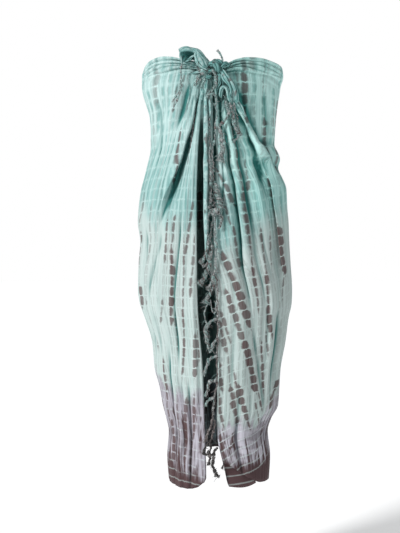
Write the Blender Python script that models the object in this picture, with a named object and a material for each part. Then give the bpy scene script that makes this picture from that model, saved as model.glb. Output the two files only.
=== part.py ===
"""A tie-dyed sarong: one fringed rectangle of thin cloth, wrapped round the chest and knotted in front.

The origin is the middle of the top opening, where the wearer's chest holds the cloth. +Z is up and
the knot faces -Y. A drop is a distance below the origin. The cloth is built in three stretches, with
its two fringed ends, its knot and the two tied corners as pieces of their own.
"""

import math

import bmesh
import bpy
import numpy as np
from mathutils import Matrix, Vector
from mathutils.bvhtree import BVHTree

# Driving sizes, in metres.
WALL = 0.0015
SEAM_GAP = 0.0003
SEAT_GAP = 0.0005
KNOT_DROP = 0.041
FAN_DROP = 0.42
TURN_RADIUS = 0.005
RETURN_SINK = 0.08
LOWEST_DROP = 1.02
BACK_HEM_DROP = 1.016
BACK_HEM_RISE = 0.052
SIDE_TOP_DROP = 0.004

# The wrap's outline at each drop: how far it reaches to the left, right, front and back.
SECTIONS = {
    "drop": (0.000, 0.018, 0.045, 0.065, 0.090, 0.125, 0.165, 0.190, 0.208, 0.225, 0.245, 0.270, 0.300, 0.345,
             0.380, 0.430, 0.480, 0.550, 0.580, 0.620, 0.680, 0.745, 0.790, 0.835, 0.865, 0.900, 0.960, 1.020),
    "left": (0.172, 0.177, 0.177, 0.174, 0.166, 0.157, 0.155, 0.155, 0.156, 0.160, 0.165, 0.171, 0.179, 0.185,
             0.187, 0.181, 0.185, 0.187, 0.183, 0.169, 0.151, 0.145, 0.133, 0.125, 0.117, 0.110, 0.114, 0.110),
    "right": (0.173, 0.175, 0.168, 0.165, 0.161, 0.157, 0.154, 0.153, 0.162, 0.167, 0.162, 0.172, 0.183, 0.185,
              0.188, 0.190, 0.193, 0.197, 0.196, 0.188, 0.180, 0.168, 0.165, 0.162, 0.146, 0.136, 0.142, 0.139),
    "front": (0.118, 0.121, 0.125, 0.127, 0.127, 0.126, 0.125, 0.125, 0.126, 0.126, 0.127, 0.128, 0.129, 0.130,
              0.131, 0.132, 0.132, 0.132, 0.132, 0.131, 0.129, 0.127, 0.126, 0.124, 0.123, 0.121, 0.119, 0.117),
    "back": (0.105, 0.107, 0.109, 0.109, 0.107, 0.103, 0.100, 0.101, 0.102, 0.104, 0.107, 0.112, 0.117, 0.121,
             0.124, 0.126, 0.127, 0.126, 0.125, 0.123, 0.120, 0.117, 0.115, 0.113, 0.112, 0.111, 0.110, 0.109),
}

# The two front edges that face each other across the slit, as x at each drop.
EDGES = {
    "drop": (0.030, 0.080, 0.148, 0.218, 0.335, 0.452, 0.487, 0.534, 0.593, 0.663, 0.733, 0.850, 0.897, 0.925,
             0.979, LOWEST_DROP),
    "left": (-0.0245, -0.0270, -0.0315, -0.0370, -0.0407, -0.0407, -0.0400, -0.0397, -0.0380, -0.0325, -0.0267,
             -0.0225, -0.0208, -0.0200, -0.0187, -0.0185),
    "right": (-0.0195, -0.0215, -0.0245, -0.0245, -0.0245, -0.0220, -0.0138, 0.0003, 0.0073, 0.0090, 0.0096,
              0.0075, 0.0096, 0.0150, 0.0280, 0.0354),
}

# How much cloth lies turned back behind each front edge, past the turn itself.
RETURNS = {
    "drop": (0.03, 0.20, 0.50, 0.85, 0.93, LOWEST_DROP),
    "left": (0.004, 0.012, 0.026, 0.030, 0.030, 0.030),
    "right": (0.003, 0.004, 0.005, 0.010, 0.055, 0.098),
}

# The top edge, from the front edge (share 0) round to the side (share 1), dips to the knot.
TOP_EDGES = {
    "share": (0.0, 0.08, 0.15, 0.24, 0.34, 0.48, 0.64, 0.82, 1.0),
    "left": (0.026, 0.013, 0.005, -0.003, -0.009, -0.0125, -0.010, -0.003, SIDE_TOP_DROP),
    "right": (0.032, 0.024, 0.015, 0.002, -0.005, -0.0070, -0.004, -0.001, SIDE_TOP_DROP),
}

# The hem, along the cloth from the end of the return (-1) past the edge (0) to the side (1).
HEMS = {
    "along": (-1.0, -0.75, -0.5, -0.25, 0.0, 0.12, 0.30, 0.55, 1.0),
    "left": (0.984, 0.985, 0.986, 0.990, 1.000, 1.013, 1.020, 1.020, BACK_HEM_DROP),
    "right": (1.016, 1.019, 1.012, 0.985, 0.956, 0.970, 0.994, 1.012, BACK_HEM_DROP),
}

# Front folds. Each runs along the cloth from one share of the panel to another, and stands out or in.
FOLD_COLUMNS = ("start", "end", "width", "height", "from_drop", "to_drop")
FRONT_FOLDS = {
    "left": (
        (0.10, 0.09, 0.050, 0.006, 0.09, 0.62),
        (0.21, 0.27, 0.060, 0.008, 0.08, 0.56),
        (0.32, 0.45, 0.055, -0.018, 0.06, 0.43),
        (0.45, 0.58, 0.070, 0.008, 0.09, 0.52),
        (0.60, 0.66, 0.060, -0.006, 0.09, 0.38),
        (0.30, 0.26, 0.090, 0.006, 0.50, 1.20),
        (0.48, 0.44, 0.080, -0.008, 0.45, 1.20),
        (0.68, 0.64, 0.090, 0.007, 0.45, 1.20),
        (0.85, 0.84, 0.070, -0.006, 0.52, 1.20),
    ),
    "right": (
        (0.04, 0.03, 0.036, 0.006, 0.07, 0.52),
        (0.11, 0.10, 0.034, -0.009, 0.07, 0.48),
        (0.18, 0.17, 0.038, 0.007, 0.07, 0.50),
        (0.27, 0.25, 0.050, -0.011, 0.08, 0.54),
        (0.42, 0.36, 0.046, 0.013, 0.08, 0.66),
        (0.52, 0.50, 0.046, -0.005, 0.09, 0.55),
        (0.61, 0.59, 0.048, 0.008, 0.07, 0.54),
        (0.68, 0.76, 0.044, -0.012, 0.06, 0.44),
        (0.77, 0.85, 0.048, 0.010, 0.06, 0.42),
        (0.86, 0.93, 0.042, -0.008, 0.05, 0.30),
        (0.20, 0.22, 0.080, 0.005, 0.55, 1.20),
        (0.46, 0.44, 0.080, -0.007, 0.55, 1.20),
        (0.66, 0.64, 0.080, 0.007, 0.50, 1.20),
        (0.84, 0.86, 0.060, -0.006, 0.48, 1.20),
    ),
}

# Back folds. Start, end and width are angles in degrees, from the middle of the back.
BACK_FOLDS = (
    (-64, -56, 8, 0.007, 0.10, 1.00),
    (-44, -40, 7, -0.007, 0.03, 0.70),
    (-22, -26, 9, 0.006, 0.16, 1.20),
    (-4, 2, 7, -0.007, 0.28, 1.20),
    (16, 22, 8, 0.006, 0.06, 0.80),
    (40, 36, 8, -0.007, 0.24, 1.20),
    (62, 58, 8, 0.006, 0.12, 1.20),
)

# Pleats along the top edge, drawn tight towards the knot: depth below the edge, height and half width.
TOP_PLEATS = (
    (0.0050, 0.0030, 0.0036),
    (0.0160, 0.0036, 0.0038),
    (0.0275, 0.0034, 0.0038),
    (0.0395, 0.0028, 0.0042),
)
PLEAT_SQUEEZE = 0.55

# The first mesh rows below the top edge, one on each pleat and one in each trough.
PLEAT_ROWS = (0.0, 0.0050, 0.0105, 0.0160, 0.0215, 0.0275, 0.0335, 0.0395, 0.0470)

# Mesh counts.
ROWS = 30
FRONT_COLUMNS = 24
TURN_COLUMNS = 4
RETURN_COLUMNS = 2
BACK_COLUMNS = 22
BACK_ROWS = 22

# The knot, its smaller second turn and the tied corners. Places are (x, distance in front of the origin, drop).
KNOT_LUMPS = (
    # centre, reach, bands, band height
    ((0.006, 0.1360, 0.027), (0.0165, 0.0140, 0.0165), 3, 0.0018),
    ((-0.0105, 0.1330, 0.044), (0.0100, 0.0100, 0.0085), 2, 0.0010),
)

# The upper corner stands up from the knot: path, half height and the half angle of its open underside.
UPPER_CORNER = (
    ((-0.0140, 0.1360, 0.0240), 0.0085, 40),
    ((-0.0260, 0.1370, 0.0130), 0.0120, 46),
    ((-0.0440, 0.1380, -0.0035), 0.0130, 54),
    ((-0.0610, 0.1390, -0.0045), 0.0165, 64),
    ((-0.0760, 0.1390, 0.0010), 0.0175, 70),
)
UPPER_OPENS_TO = 152
LOWER_CORNER = (
    # place, half width
    ((0.0175, 0.137, 0.0440), 0.0070),
    ((0.0260, 0.142, 0.0600), 0.0100),
    ((0.0340, 0.142, 0.0820), 0.0115),
    ((0.0440, 0.139, 0.1010), 0.0075),
    ((0.0490, 0.137, 0.1100), 0.0035),
)
LOOSE_END = (
    ((0.0205, 0.137, 0.0176), 0.0025),
    ((0.0190, 0.137, 0.0080), 0.0022),
    ((0.0145, 0.136, -0.0040), 0.0020),
    ((0.0075, 0.136, -0.0135), 0.0022),
)

# The tied corners' own tassels: a head, then the locks that hang from its middle as (places, half width).
TASSELS = {
    "tassel_upper": (
        ((-0.0735, 0.1300, 0.0180), 0.0032),
        (((-0.077, 0.124, 0.045), (-0.075, 0.122, 0.072), (-0.087, 0.119, 0.098), (-0.096, 0.115, 0.129)), 0.0026),
        (((-0.0835, 0.125, 0.043), (-0.086, 0.123, 0.068), (-0.100, 0.117, 0.106)), 0.0020),
    ),
    "tassel_knot": (
        ((-0.0222, 0.1320, 0.0475), 0.0032),
        (((-0.0300, 0.134, 0.058), (-0.0285, 0.132, 0.074)), 0.0020),
        (((-0.0360, 0.135, 0.056), (-0.0390, 0.133, 0.070)), 0.0020),
    ),
    "tassel_lower": (
        ((0.0230, 0.1620, 0.0795), 0.0042),
        (((0.027, 0.160, 0.108), (0.040, 0.156, 0.133), (0.053, 0.150, 0.159), (0.063, 0.143, 0.180)), 0.0030),
        (((0.019, 0.160, 0.105), (0.021, 0.155, 0.140), (0.0145, 0.152, 0.168)), 0.0026),
        (((0.035, 0.164, 0.104), (0.029, 0.158, 0.150), (0.030, 0.152, 0.190), (0.021, 0.149, 0.226),
          (0.013, 0.147, 0.247)), 0.0026),
    ),
}

# Fringe: a narrow heading beside each cut end, with locks that hang in lanes clear of each other.
HEADING_WIDTH = 0.006
HEADING_THICKNESS = 0.0024
HEADING_GAP = 0.0008
LOCK_HALF_WIDTH = 0.0021
LOCK_LENGTH = 0.063
LOCK_PITCHES = {"right": 0.0175, "left": 0.029}
HEADING_STEPS = 30
LANES = (
    # ahead of the heading, aside of it
    (0.0030, 0.0040),
    (0.0075, -0.0010),
    (0.0120, 0.0060),
    (0.0165, 0.0015),
)
END_LOCKS = (0.080, 0.070, 0.092, 0.060)
RIGHT_HEADING = {
    "drop": (0.050, 0.060, 0.079, 0.096, 0.130, 0.200, 0.440, 0.480, 0.534, 0.600, 0.740, 0.850, 0.925),
    "x": (0.0030, 0.0055, 0.0010, -0.0085, -0.0070, -0.0060, -0.0060, -0.0045, 0.0060, 0.0125, 0.0145, 0.0130,
          0.0165),
}
LEFT_HEADING_DROPS = (0.12, 0.96)

COLOURS = {
    "cloth": (0.42, 0.66, 0.64, 1.0),
    "knot": (0.30, 0.50, 0.48, 1.0),
    "fringe": (0.36, 0.38, 0.37, 1.0),
}


def curve_through(places, values, at):
    """A smooth curve through the points that never overshoots them, read at the given places."""
    places, values = np.asarray(places, float), np.asarray(values, float)
    steps = np.diff(places)
    slopes = np.diff(values) / steps
    before, after = slopes[:-1], slopes[1:]
    same_way = before * after > 0
    total = np.where(same_way, before + after, 1.0)
    middle = np.where(same_way, 2 * before * after / total, 0.0)
    tangents = np.concatenate([slopes[:1], middle, slopes[-1:]])
    at = np.clip(at, places[0], places[-1])
    i = np.clip(np.searchsorted(places, at) - 1, 0, len(steps) - 1)
    t = (at - places[i]) / steps[i]
    ease = t * t * (3 - 2 * t)
    lead_in = t * (1 - t) ** 2 * steps[i] * tangents[i]
    lead_out = t * t * (t - 1) * steps[i] * tangents[i + 1]
    return values[i] + (values[i + 1] - values[i]) * ease + lead_in + lead_out


def read(table, column, at):
    """A table's column as a smooth function of its first column."""
    first = next(iter(table))
    return curve_through(table[first], table[column], at)


def rise(start, end, at):
    """0 before start and 1 after end, with a smooth step between."""
    t = np.clip((at - start) / (end - start), 0, 1)
    return t * t * (3 - 2 * t)


def bump(offset, width):
    return np.exp(-((offset / width) ** 2))


def fold_sum(folds, along, drop):
    """The height of all the folds at a place on the cloth."""
    total = np.zeros(np.broadcast(along, drop).shape)
    for start, end, width, height, from_drop, to_drop in folds:
        centre = start + (end - start) * rise(from_drop, min(to_drop, LOWEST_DROP), drop)
        length = to_drop - from_drop
        shown = rise(from_drop, from_drop + 0.25 * length, drop) * (1 - rise(to_drop - 0.45 * length, to_drop, drop))
        total = total + height * bump(along - centre, width) * shown
    return total


def fan(drop):
    """How far the gathered cloth has opened out below the knot, from 0 at the knot to 1."""
    fallen = np.maximum(drop - KNOT_DROP, 0) / FAN_DROP
    return fallen / (1 + fallen**3) ** (1 / 3)


def pleat_squeeze(share):
    return PLEAT_SQUEEZE + (1 - PLEAT_SQUEEZE) * rise(0.0, 0.5, share)


def pleat_sum(panel, share, drop):
    """The height of the pleats along the top edge, squeezed together towards the knot."""
    depth = drop - read(TOP_EDGES, panel, share)
    squeeze = pleat_squeeze(share)
    shown = rise(0.02, 0.16, share) * (1 - rise(0.72, 1.0, share))
    total = np.zeros(np.broadcast(share, drop).shape)
    for below, height, width in TOP_PLEATS:
        total = total + height * bump(depth - below * squeeze, width * squeeze)
    return total * shown


def outline_at(panel, angle, drop):
    """The wrap's smooth front outline at an angle from straight ahead: x, y and the outward normal."""
    sign = -1 if panel == "left" else 1
    other = "right" if panel == "left" else "left"
    reach = np.where(angle > 0, read(SECTIONS, panel, drop), read(SECTIONS, other, drop))
    front = read(SECTIONS, "front", drop)
    normal_x, normal_y = np.sin(angle) / reach, -np.cos(angle) / front
    length = np.hypot(normal_x, normal_y)
    return sign * reach * np.sin(angle), -front * np.cos(angle), sign * normal_x / length, normal_y / length


def panel_point(panel, along, drop):
    """A point on a front panel. From 0, along runs to the side (1); below 0 it goes round the edge (-0.5) and back."""
    sign = -1 if panel == "left" else 1
    across = np.maximum(along, 0)
    own = read(SECTIONS, panel, drop)
    edge_angle = np.arcsin((sign * read(EDGES, panel, drop) + TURN_RADIUS) / own)
    gathered = across**3
    share = gathered + (across - gathered) * fan(drop)
    turned = np.clip(-2 * along, 0, 1) * math.pi
    gone_back = np.clip(-2 * along - 1, 0, 1) * read(RETURNS, panel, drop)
    angle = edge_angle + share * (math.pi / 2 - edge_angle) + gone_back / own
    x, y, normal_x, normal_y = outline_at(panel, angle, drop)
    height = fold_sum(FRONT_FOLDS[panel], across, drop) * np.minimum(1, fan(drop) * 2.4)
    height = height * (1 - rise(0.80, 0.97, share)) * (1 - rise(0, 0.03, gone_back)) + pleat_sum(panel, share, drop)
    height = height - TURN_RADIUS * (1 - np.cos(turned)) - RETURN_SINK * gone_back
    ahead = TURN_RADIUS * np.sin(turned)
    x = x + height * normal_x + sign * ahead * normal_y
    y = y + height * normal_y - sign * ahead * normal_x
    return np.stack([x, y, -drop], axis=-1)


def panel_drop(panel, along, row):
    """The drop of a mesh row on a front panel: the pleats' rows first, then even steps that follow the hem."""
    share = np.maximum(along, 0) ** 3
    squeeze = pleat_squeeze(share)
    top = read(TOP_EDGES, panel, share)
    pleated = len(PLEAT_ROWS) - 1
    below = PLEAT_ROWS[-1] * squeeze
    step = np.clip((row - pleated) / (ROWS - pleated), 0, 1)
    to_hem = (read(HEMS, panel, along) - top - below) * (0.7 * step + 0.3 * step**2)
    return top + np.interp(row, np.arange(pleated + 1), PLEAT_ROWS) * squeeze + to_hem


def back_point(angle, drop):
    """A point on the back, with its angle in degrees from -90 at the left side to 90 at the right."""
    turn = np.radians(angle)
    reach = np.where(turn < 0, read(SECTIONS, "left", drop), read(SECTIONS, "right", drop))
    back = read(SECTIONS, "back", drop)
    x, y = reach * np.sin(turn), back * np.cos(turn)
    normal_x, normal_y = np.sin(turn) / reach, np.cos(turn) / back
    length = np.hypot(normal_x, normal_y)
    height = fold_sum(BACK_FOLDS, angle, drop) * (1 - rise(66, 84, np.abs(angle)))
    return np.stack([x + height * normal_x / length, y + height * normal_y / length, -drop], axis=-1)


def back_drop(angle, down):
    hem = BACK_HEM_DROP - BACK_HEM_RISE * np.cos(np.radians(angle)) ** 4
    return SIDE_TOP_DROP + down * (hem - SIDE_TOP_DROP)


def panel_columns():
    """Columns from the return's end, round the turn and across the panel, closest beside the edge."""
    back = np.linspace(-1, -0.5, RETURN_COLUMNS + 1)[:-1]
    turn = np.linspace(-0.5, 0, TURN_COLUMNS + 1)[:-1]
    step = np.linspace(0, 1, FRONT_COLUMNS + 1)
    return np.concatenate([back, turn, step * (0.55 + 0.45 * step)])


def material(name, kind):
    made = bpy.data.materials.new(name)
    made.use_nodes = True
    shader = made.node_tree.nodes["Principled BSDF"]
    shader.inputs["Base Color"].default_value = COLOURS[kind]
    shader.inputs["Roughness"].default_value = 0.75
    shader.inputs["Metallic"].default_value = 0.0
    return made


def object_from(name, bm, kind):
    """A finished object with its own material, shaded smooth."""
    mesh = bpy.data.meshes.new(name)
    bm.to_mesh(mesh)
    bm.free()
    mesh.materials.append(material(name, kind))
    mesh.shade_smooth()
    made = bpy.data.objects.new(name, mesh)
    bpy.context.scene.collection.objects.link(made)
    return made


def thicken(made, thickness):
    wall = made.modifiers.new("Wall", "SOLIDIFY")
    wall.thickness = thickness
    wall.offset = 0.0


def sheet(name, columns, rows, place, kind, thickness=WALL):
    """A wall of cloth: a grid whose points are placed by a function of (column, row)."""
    bm = bmesh.new()
    bmesh.ops.create_grid(bm, x_segments=len(columns) - 1, y_segments=len(rows) - 1, size=0.5)
    bm.verts.ensure_lookup_table()
    grid = np.array([v.co for v in bm.verts])
    across = np.rint((grid[:, 0] + 0.5) * (len(columns) - 1)).astype(int)
    down = np.rint((0.5 - grid[:, 1]) * (len(rows) - 1)).astype(int)
    for vertex, point in zip(bm.verts, place(columns[across], rows[down])):
        vertex.co = point
    bmesh.ops.recalc_face_normals(bm, faces=bm.faces)
    made = object_from(name, bm, kind)
    thicken(made, thickness)
    return made


def front_panel(panel):
    """One side of the front, from its turned edge at the slit round to the side."""
    sign = -1 if panel == "left" else 1

    def place(along, row):
        points = panel_point(panel, along, panel_drop(panel, along, row))
        points[along > 0.999, 0] = sign * np.abs(points[along > 0.999, 0])
        points[along > 0.999, 1] = -SEAM_GAP
        return points

    return sheet(f"front_{panel}", panel_columns(), np.arange(ROWS + 1.0), place, "cloth")


def back_panel():
    """The back, from side to side, with its hem drawn up in the middle."""

    def place(angle, down):
        points = back_point(angle, back_drop(angle, down))
        points[np.abs(angle) > 89.9, 1] = SEAM_GAP
        return points

    return sheet("back", np.linspace(-90, 90, BACK_COLUMNS + 1), np.linspace(0, 1, BACK_ROWS + 1), place, "cloth")


def surface_of(objects):
    """A search tree over the finished surfaces of these objects."""
    graph = bpy.context.evaluated_depsgraph_get()
    points, faces = [], []
    for made in objects:
        mesh = made.evaluated_get(graph).to_mesh()
        start = len(points)
        points += [v.co.copy() for v in mesh.vertices]
        faces += [[start + i for i in p.vertices] for p in mesh.polygons]
    return BVHTree.FromPolygons(points, faces)


def front_of(surface, x, drop):
    """The y of the surface's front at this place, or None off its edge."""
    hit = surface.ray_cast(Vector((x, -1, -drop)), Vector((0, 1, 0)))[0]
    return None if hit is None else hit.y


def seat(made, surface):
    """Moves a piece and what is joined to it in y, until it lies a seat gap in front of the surface."""
    bpy.context.view_layer.update()
    mesh = made.evaluated_get(bpy.context.evaluated_depsgraph_get()).to_mesh()
    room = []
    for vertex in mesh.vertices:
        front = front_of(surface, vertex.co.x, -vertex.co.z)
        if front is not None:
            room.append(front - vertex.co.y)
    joined = [modifier.object for modifier in made.modifiers if modifier.type == "BOOLEAN"]
    for piece in (made, *joined):
        piece.data.transform(Matrix.Translation((0, min(room) - SEAT_GAP, 0)))


def place_of(row):
    x, ahead, drop = row
    return Vector((x, -ahead, -drop))


def smooth_path(rows, count):
    """Points along a smooth curve through the rows, evenly spaced by row number."""
    fixed = np.array([place_of(row) for row in rows])
    numbers = np.arange(len(rows))
    at = np.linspace(0, len(rows) - 1, count)
    return np.stack([curve_through(numbers, fixed[:, k], at) for k in range(3)], axis=1)


def rings_along(path, reach, sides, shape):
    """Rings of points square to a path. shape gives each ring's radius share at (turn, place on path)."""
    tangents = np.gradient(path, axis=0)
    tangents /= np.linalg.norm(tangents, axis=1)[:, None]
    rings = []
    for i, (centre, tangent) in enumerate(zip(path, tangents)):
        forward = np.array((0.0, -1.0, 0.0))
        forward -= tangent * (forward @ tangent)
        forward /= np.linalg.norm(forward)
        across = np.cross(tangent, forward)
        turns = np.linspace(0, 2 * math.pi, sides, endpoint=False)
        share = shape(turns, i / (len(path) - 1)) * reach[i]
        rings.append(centre + np.outer(share * np.cos(turns), forward) + np.outer(share * np.sin(turns), across))
    return rings


def add_tube(bm, rings):
    """A closed tube through the rings, with a flat cap at each end."""
    loops = [[bm.verts.new(point) for point in ring] for ring in rings]
    for first, second in zip(loops, loops[1:]):
        for i in range(len(first)):
            j = (i + 1) % len(first)
            bm.faces.new((first[i], first[j], second[j], second[i]))
    bm.faces.new(list(reversed(loops[0])))
    bm.faces.new(loops[-1])


def closed_tube(name, rows, sides, kind, count=10, lobes=0, lobe_share=0.16, flat=1.0):
    """Cloth drawn together lengthwise: a tube along (place, half width) rows, with folds that twist along it."""
    numbers = np.arange(len(rows))
    path = smooth_path([place for place, _ in rows], count)
    widths = curve_through(numbers, [width for _, width in rows], np.linspace(0, len(rows) - 1, count))

    def outline(turn, along):
        return (1 + lobe_share * np.cos(lobes * turn + 2.4 * along)) * np.hypot(flat * np.cos(turn), np.sin(turn))

    bm = bmesh.new()
    add_tube(bm, rings_along(path, widths, sides, outline))
    bmesh.ops.recalc_face_normals(bm, faces=bm.faces)
    return object_from(name, bm, kind)


def lump(name, centre, reach, bands, height, kind="knot", sides=16):
    """A rounded lump with the cloth's bands wound aslant round it."""
    bm = bmesh.new()
    bmesh.ops.create_uvsphere(bm, u_segments=sides, v_segments=sides * 5 // 8, radius=1.0)
    for vertex in bm.verts:
        unit = vertex.co.normalized()
        aslant = unit.x * 0.72 + unit.z * 0.69
        band = 1 + height / reach[0] * math.cos(aslant * bands * math.pi)
        vertex.co = place_of(centre) + Vector(size * share * band for size, share in zip(reach, unit))
    return object_from(name, bm, kind)


def join(made, other):
    """Makes the other object's shape part of this one."""
    other.hide_render = True
    other.display_type = "WIRE"
    union = made.modifiers.new(other.name, "BOOLEAN")
    union.operation = "UNION"
    union.solver = "EXACT"
    union.use_self = True
    union.object = other


def knot(surface):
    """The knot: a round lump where the right corner passes over, and a smaller one below it at the left."""
    main = lump("knot", *KNOT_LUMPS[0])
    seat(main, surface)
    second = lump("knot_second_turn", *KNOT_LUMPS[1])
    seat(second, surface)
    join(main, second)
    return main


def upper_corner():
    """The tied corner that stands up beside the knot, puffed and open along its underside."""
    rows = np.linspace(0, 1, 10)
    numbers = np.arange(len(UPPER_CORNER))
    at = rows * (len(UPPER_CORNER) - 1)
    path = smooth_path([place for place, _, _ in UPPER_CORNER], len(rows))
    heights = curve_through(numbers, [height for _, height, _ in UPPER_CORNER], at)
    openings = curve_through(numbers, [opening for _, _, opening in UPPER_CORNER], at)
    tangents = np.gradient(path, axis=0)
    tangents /= np.linalg.norm(tangents, axis=1)[:, None]

    def place(around, down):
        row = np.rint(down * (len(rows) - 1)).astype(int)
        turn = np.radians(UPPER_OPENS_TO + openings[row] + around * (360 - 2 * openings[row]))
        forward = np.array((0.0, -1.0, 0.0))
        up = np.cross(tangents[row], forward)
        up = up / np.linalg.norm(up, axis=1)[:, None]
        crumple = 1 + 0.12 * down * np.cos(4 * turn + 1.0)
        reach = (heights[row] * crumple)[:, None]
        return path[row] + reach * (up * np.cos(turn)[:, None] + 0.7 * forward * np.sin(turn)[:, None])

    return sheet("tied_corner_upper", np.linspace(0, 1, 15), rows, place, "cloth")


def lock_rings(line, half_width, sides):
    """Rings of a lock along a line, thinner towards its end."""
    widths = np.linspace(half_width, 0.75 * half_width, len(line))
    return rings_along(line, widths, sides, lambda turn, along: np.ones_like(turn))


def tassel(name, head, locks):
    """A tied corner's tassel: a small wound head, fused with the locks that hang from it."""
    centre, reach = head
    made = lump(name, centre, (reach, reach, 1.3 * reach), 2, 0.0002, "fringe", 8)
    for i, (places, half_width) in enumerate(locks):
        start = (centre[0] + 0.0007 * (i - 1), centre[1], centre[2] + 0.0004 * i)
        path = smooth_path((start, *places), 2 * len(places) + 1)
        lock = bmesh.new()
        add_tube(lock, lock_rings(path, half_width, 4))
        bmesh.ops.recalc_face_normals(lock, faces=lock.faces)
        join(made, object_from(f"{name}_lock_{i}", lock, "fringe"))
    return made


def heading(points, width_way, depth_way):
    """A narrow closed strip along the points, lying flat in the width way."""
    half_width, half_depth = HEADING_WIDTH / 2, HEADING_THICKNESS / 2
    corners = ((-1, -1), (1, -1), (1, 1), (-1, 1))
    bm = bmesh.new()
    rings = []
    for point, across, deep in zip(points, width_way, depth_way):
        rings.append(np.array([point + half_width * i * across + half_depth * j * deep for i, j in corners]))
    add_tube(bm, rings)
    return bm


def fringe(name, strip, drops, line, roots, aside, ahead, lengths):
    """A heading strip fused with its locks. Each lock steps out into a lane beside the line, then hangs along it."""
    strands = bmesh.new()
    for i, (root, length) in enumerate(zip(roots, lengths)):
        depth, step = LANES[i % len(LANES)]
        top = -root[2]
        step = step * (1 + rise(0.40, 0.55, top)) + 0.004 * rise(0.40, 0.55, top)
        shares = ((0.003, 0.1), (0.011, 1.0), (0.55 * length, 1.15), (length, 0.9))
        points = [root]
        for below, share in shares:
            base = np.array([np.interp(top + below, drops, line[:, k]) for k in range(2)])
            aside_point = base + depth * ahead[:2] + share * step * aside[:2]
            points.append(np.array((*aside_point, -top - below)))
        add_tube(strands, lock_rings(np.array(points), LOCK_HALF_WIDTH, 3))
    for bm in (strip, strands):
        bmesh.ops.recalc_face_normals(bm, faces=bm.faces)
    made = object_from(name, strip, "fringe")
    join(made, object_from(f"{name}_locks", strands, "fringe"))
    return made


def lock_roots(panel, drops, points):
    """Where the locks leave the heading, one every lock pitch, and how long each is."""
    root_drops = np.arange(drops[0] + 0.006, drops[-1] - 0.004, LOCK_PITCHES[panel])
    roots = np.stack([np.interp(root_drops, drops, points[:, k]) for k in range(3)], axis=1)
    lengths = np.full(len(roots), LOCK_LENGTH)
    lengths[-len(END_LOCKS):] = END_LOCKS
    return roots, lengths


def clear_front(surface, x, drop, offsets):
    """How far forward the surface comes round this place, within 16 mm up and down."""
    places = [(x + dx, drop + dz) for dx in offsets for dz in (-0.016, -0.008, 0, 0.008, 0.016)]
    found = [front_of(surface, *place) for place in places]
    return min(y for y in found if y is not None)


def right_fringe(surface):
    """The fringe that falls from the knot down the right-hand cloth end, on the face of the cloth."""
    half = HEADING_WIDTH / 2
    drops = np.linspace(RIGHT_HEADING["drop"][0], RIGHT_HEADING["drop"][-1], HEADING_STEPS)
    centres = read(RIGHT_HEADING, "x", drops)
    under = (-1.3 * half, -half / 2, half / 2, 1.3 * half)
    under_locks = (-0.020, -0.015, -0.010, -0.005, 0.0, 0.004)
    fronts = np.array([clear_front(surface, x, drop, under) for x, drop in zip(centres, drops)])
    wide_fronts = np.array([clear_front(surface, x, drop, under_locks) for x, drop in zip(centres, drops)])
    points = np.stack([centres, fronts - HEADING_THICKNESS / 2 - 2 * SEAT_GAP, -drops], axis=1)
    line = np.stack([centres, np.minimum(wide_fronts, fronts) - HEADING_THICKNESS / 2, -drops], axis=1)
    across, ahead = np.array((1.0, 0.0, 0.0)), np.array((0.0, -1.0, 0.0))
    strip = heading(points, np.tile(across, (len(drops), 1)), np.tile(ahead, (len(drops), 1)))
    roots, lengths = lock_roots("right", drops, points)
    return fringe("fringe_right", strip, drops, line, roots, -across, ahead, lengths)


def left_fringe():
    """The fringe of the left-hand cloth end, which is turned in and hangs behind the left-hand front."""
    drops = np.linspace(*LEFT_HEADING_DROPS, HEADING_STEPS)
    end = panel_point("left", np.full_like(drops, -1.0), drops)
    near = panel_point("left", np.full_like(drops, -0.9), drops)
    outward = (end - near) / np.linalg.norm(end - near, axis=1)[:, None]
    points = end + outward * (HEADING_WIDTH / 2 + HEADING_GAP)
    inward = np.stack([-outward[:, 1], outward[:, 0], outward[:, 2]], axis=1)
    inward *= np.sign(inward[:, 1])[:, None]
    strip = heading(points, outward, inward)
    roots, lengths = lock_roots("left", drops, points)
    across, ahead = np.array((1.0, 0.0, 0.0)), np.array((0.0, 1.0, 0.0))
    return fringe("fringe_left", strip, drops, points, roots, across, ahead, lengths)


def build():
    for old in list(bpy.data.objects):
        bpy.data.objects.remove(old)
    left, right = front_panel("left"), front_panel("right")
    back_panel()
    bpy.context.view_layer.update()
    surface = surface_of([left, right])
    knot(surface)
    upper_corner()
    lower = closed_tube("tied_corner_lower", LOWER_CORNER, 12, "cloth", 10, 4, 0.14)
    seat(lower, surface)
    closed_tube("loose_end", LOOSE_END, 6, "fringe", 7)
    right_fringe(surface)
    left_fringe()
    bpy.context.view_layer.update()
    surface = surface_of([left, right, lower])
    for name, (head, *locks) in TASSELS.items():
        seat(tassel(name, head, locks), surface)


build()
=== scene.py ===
# %% [markdown]
# # A tie-dyed sarong, worn as a strapless dress
# A sarong is one rectangle of thin woven cloth with a fringe of twisted yarns at each short end. Here it is wound
# round the chest and its two upper corners are tied in front, so it keeps the hollow form of a wearer who isn't
# shown. The scene is in metres, +Z is up and the knot faces -Y. Tables of places are in millimetres where they say
# so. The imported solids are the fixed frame, and each piece below takes the place of one or more of them, in finer
# form.

# %% The frame
import math

import bmesh
import bpy
import numpy as np
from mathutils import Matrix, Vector
from mathutils.bvhtree import BVHTree


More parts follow.
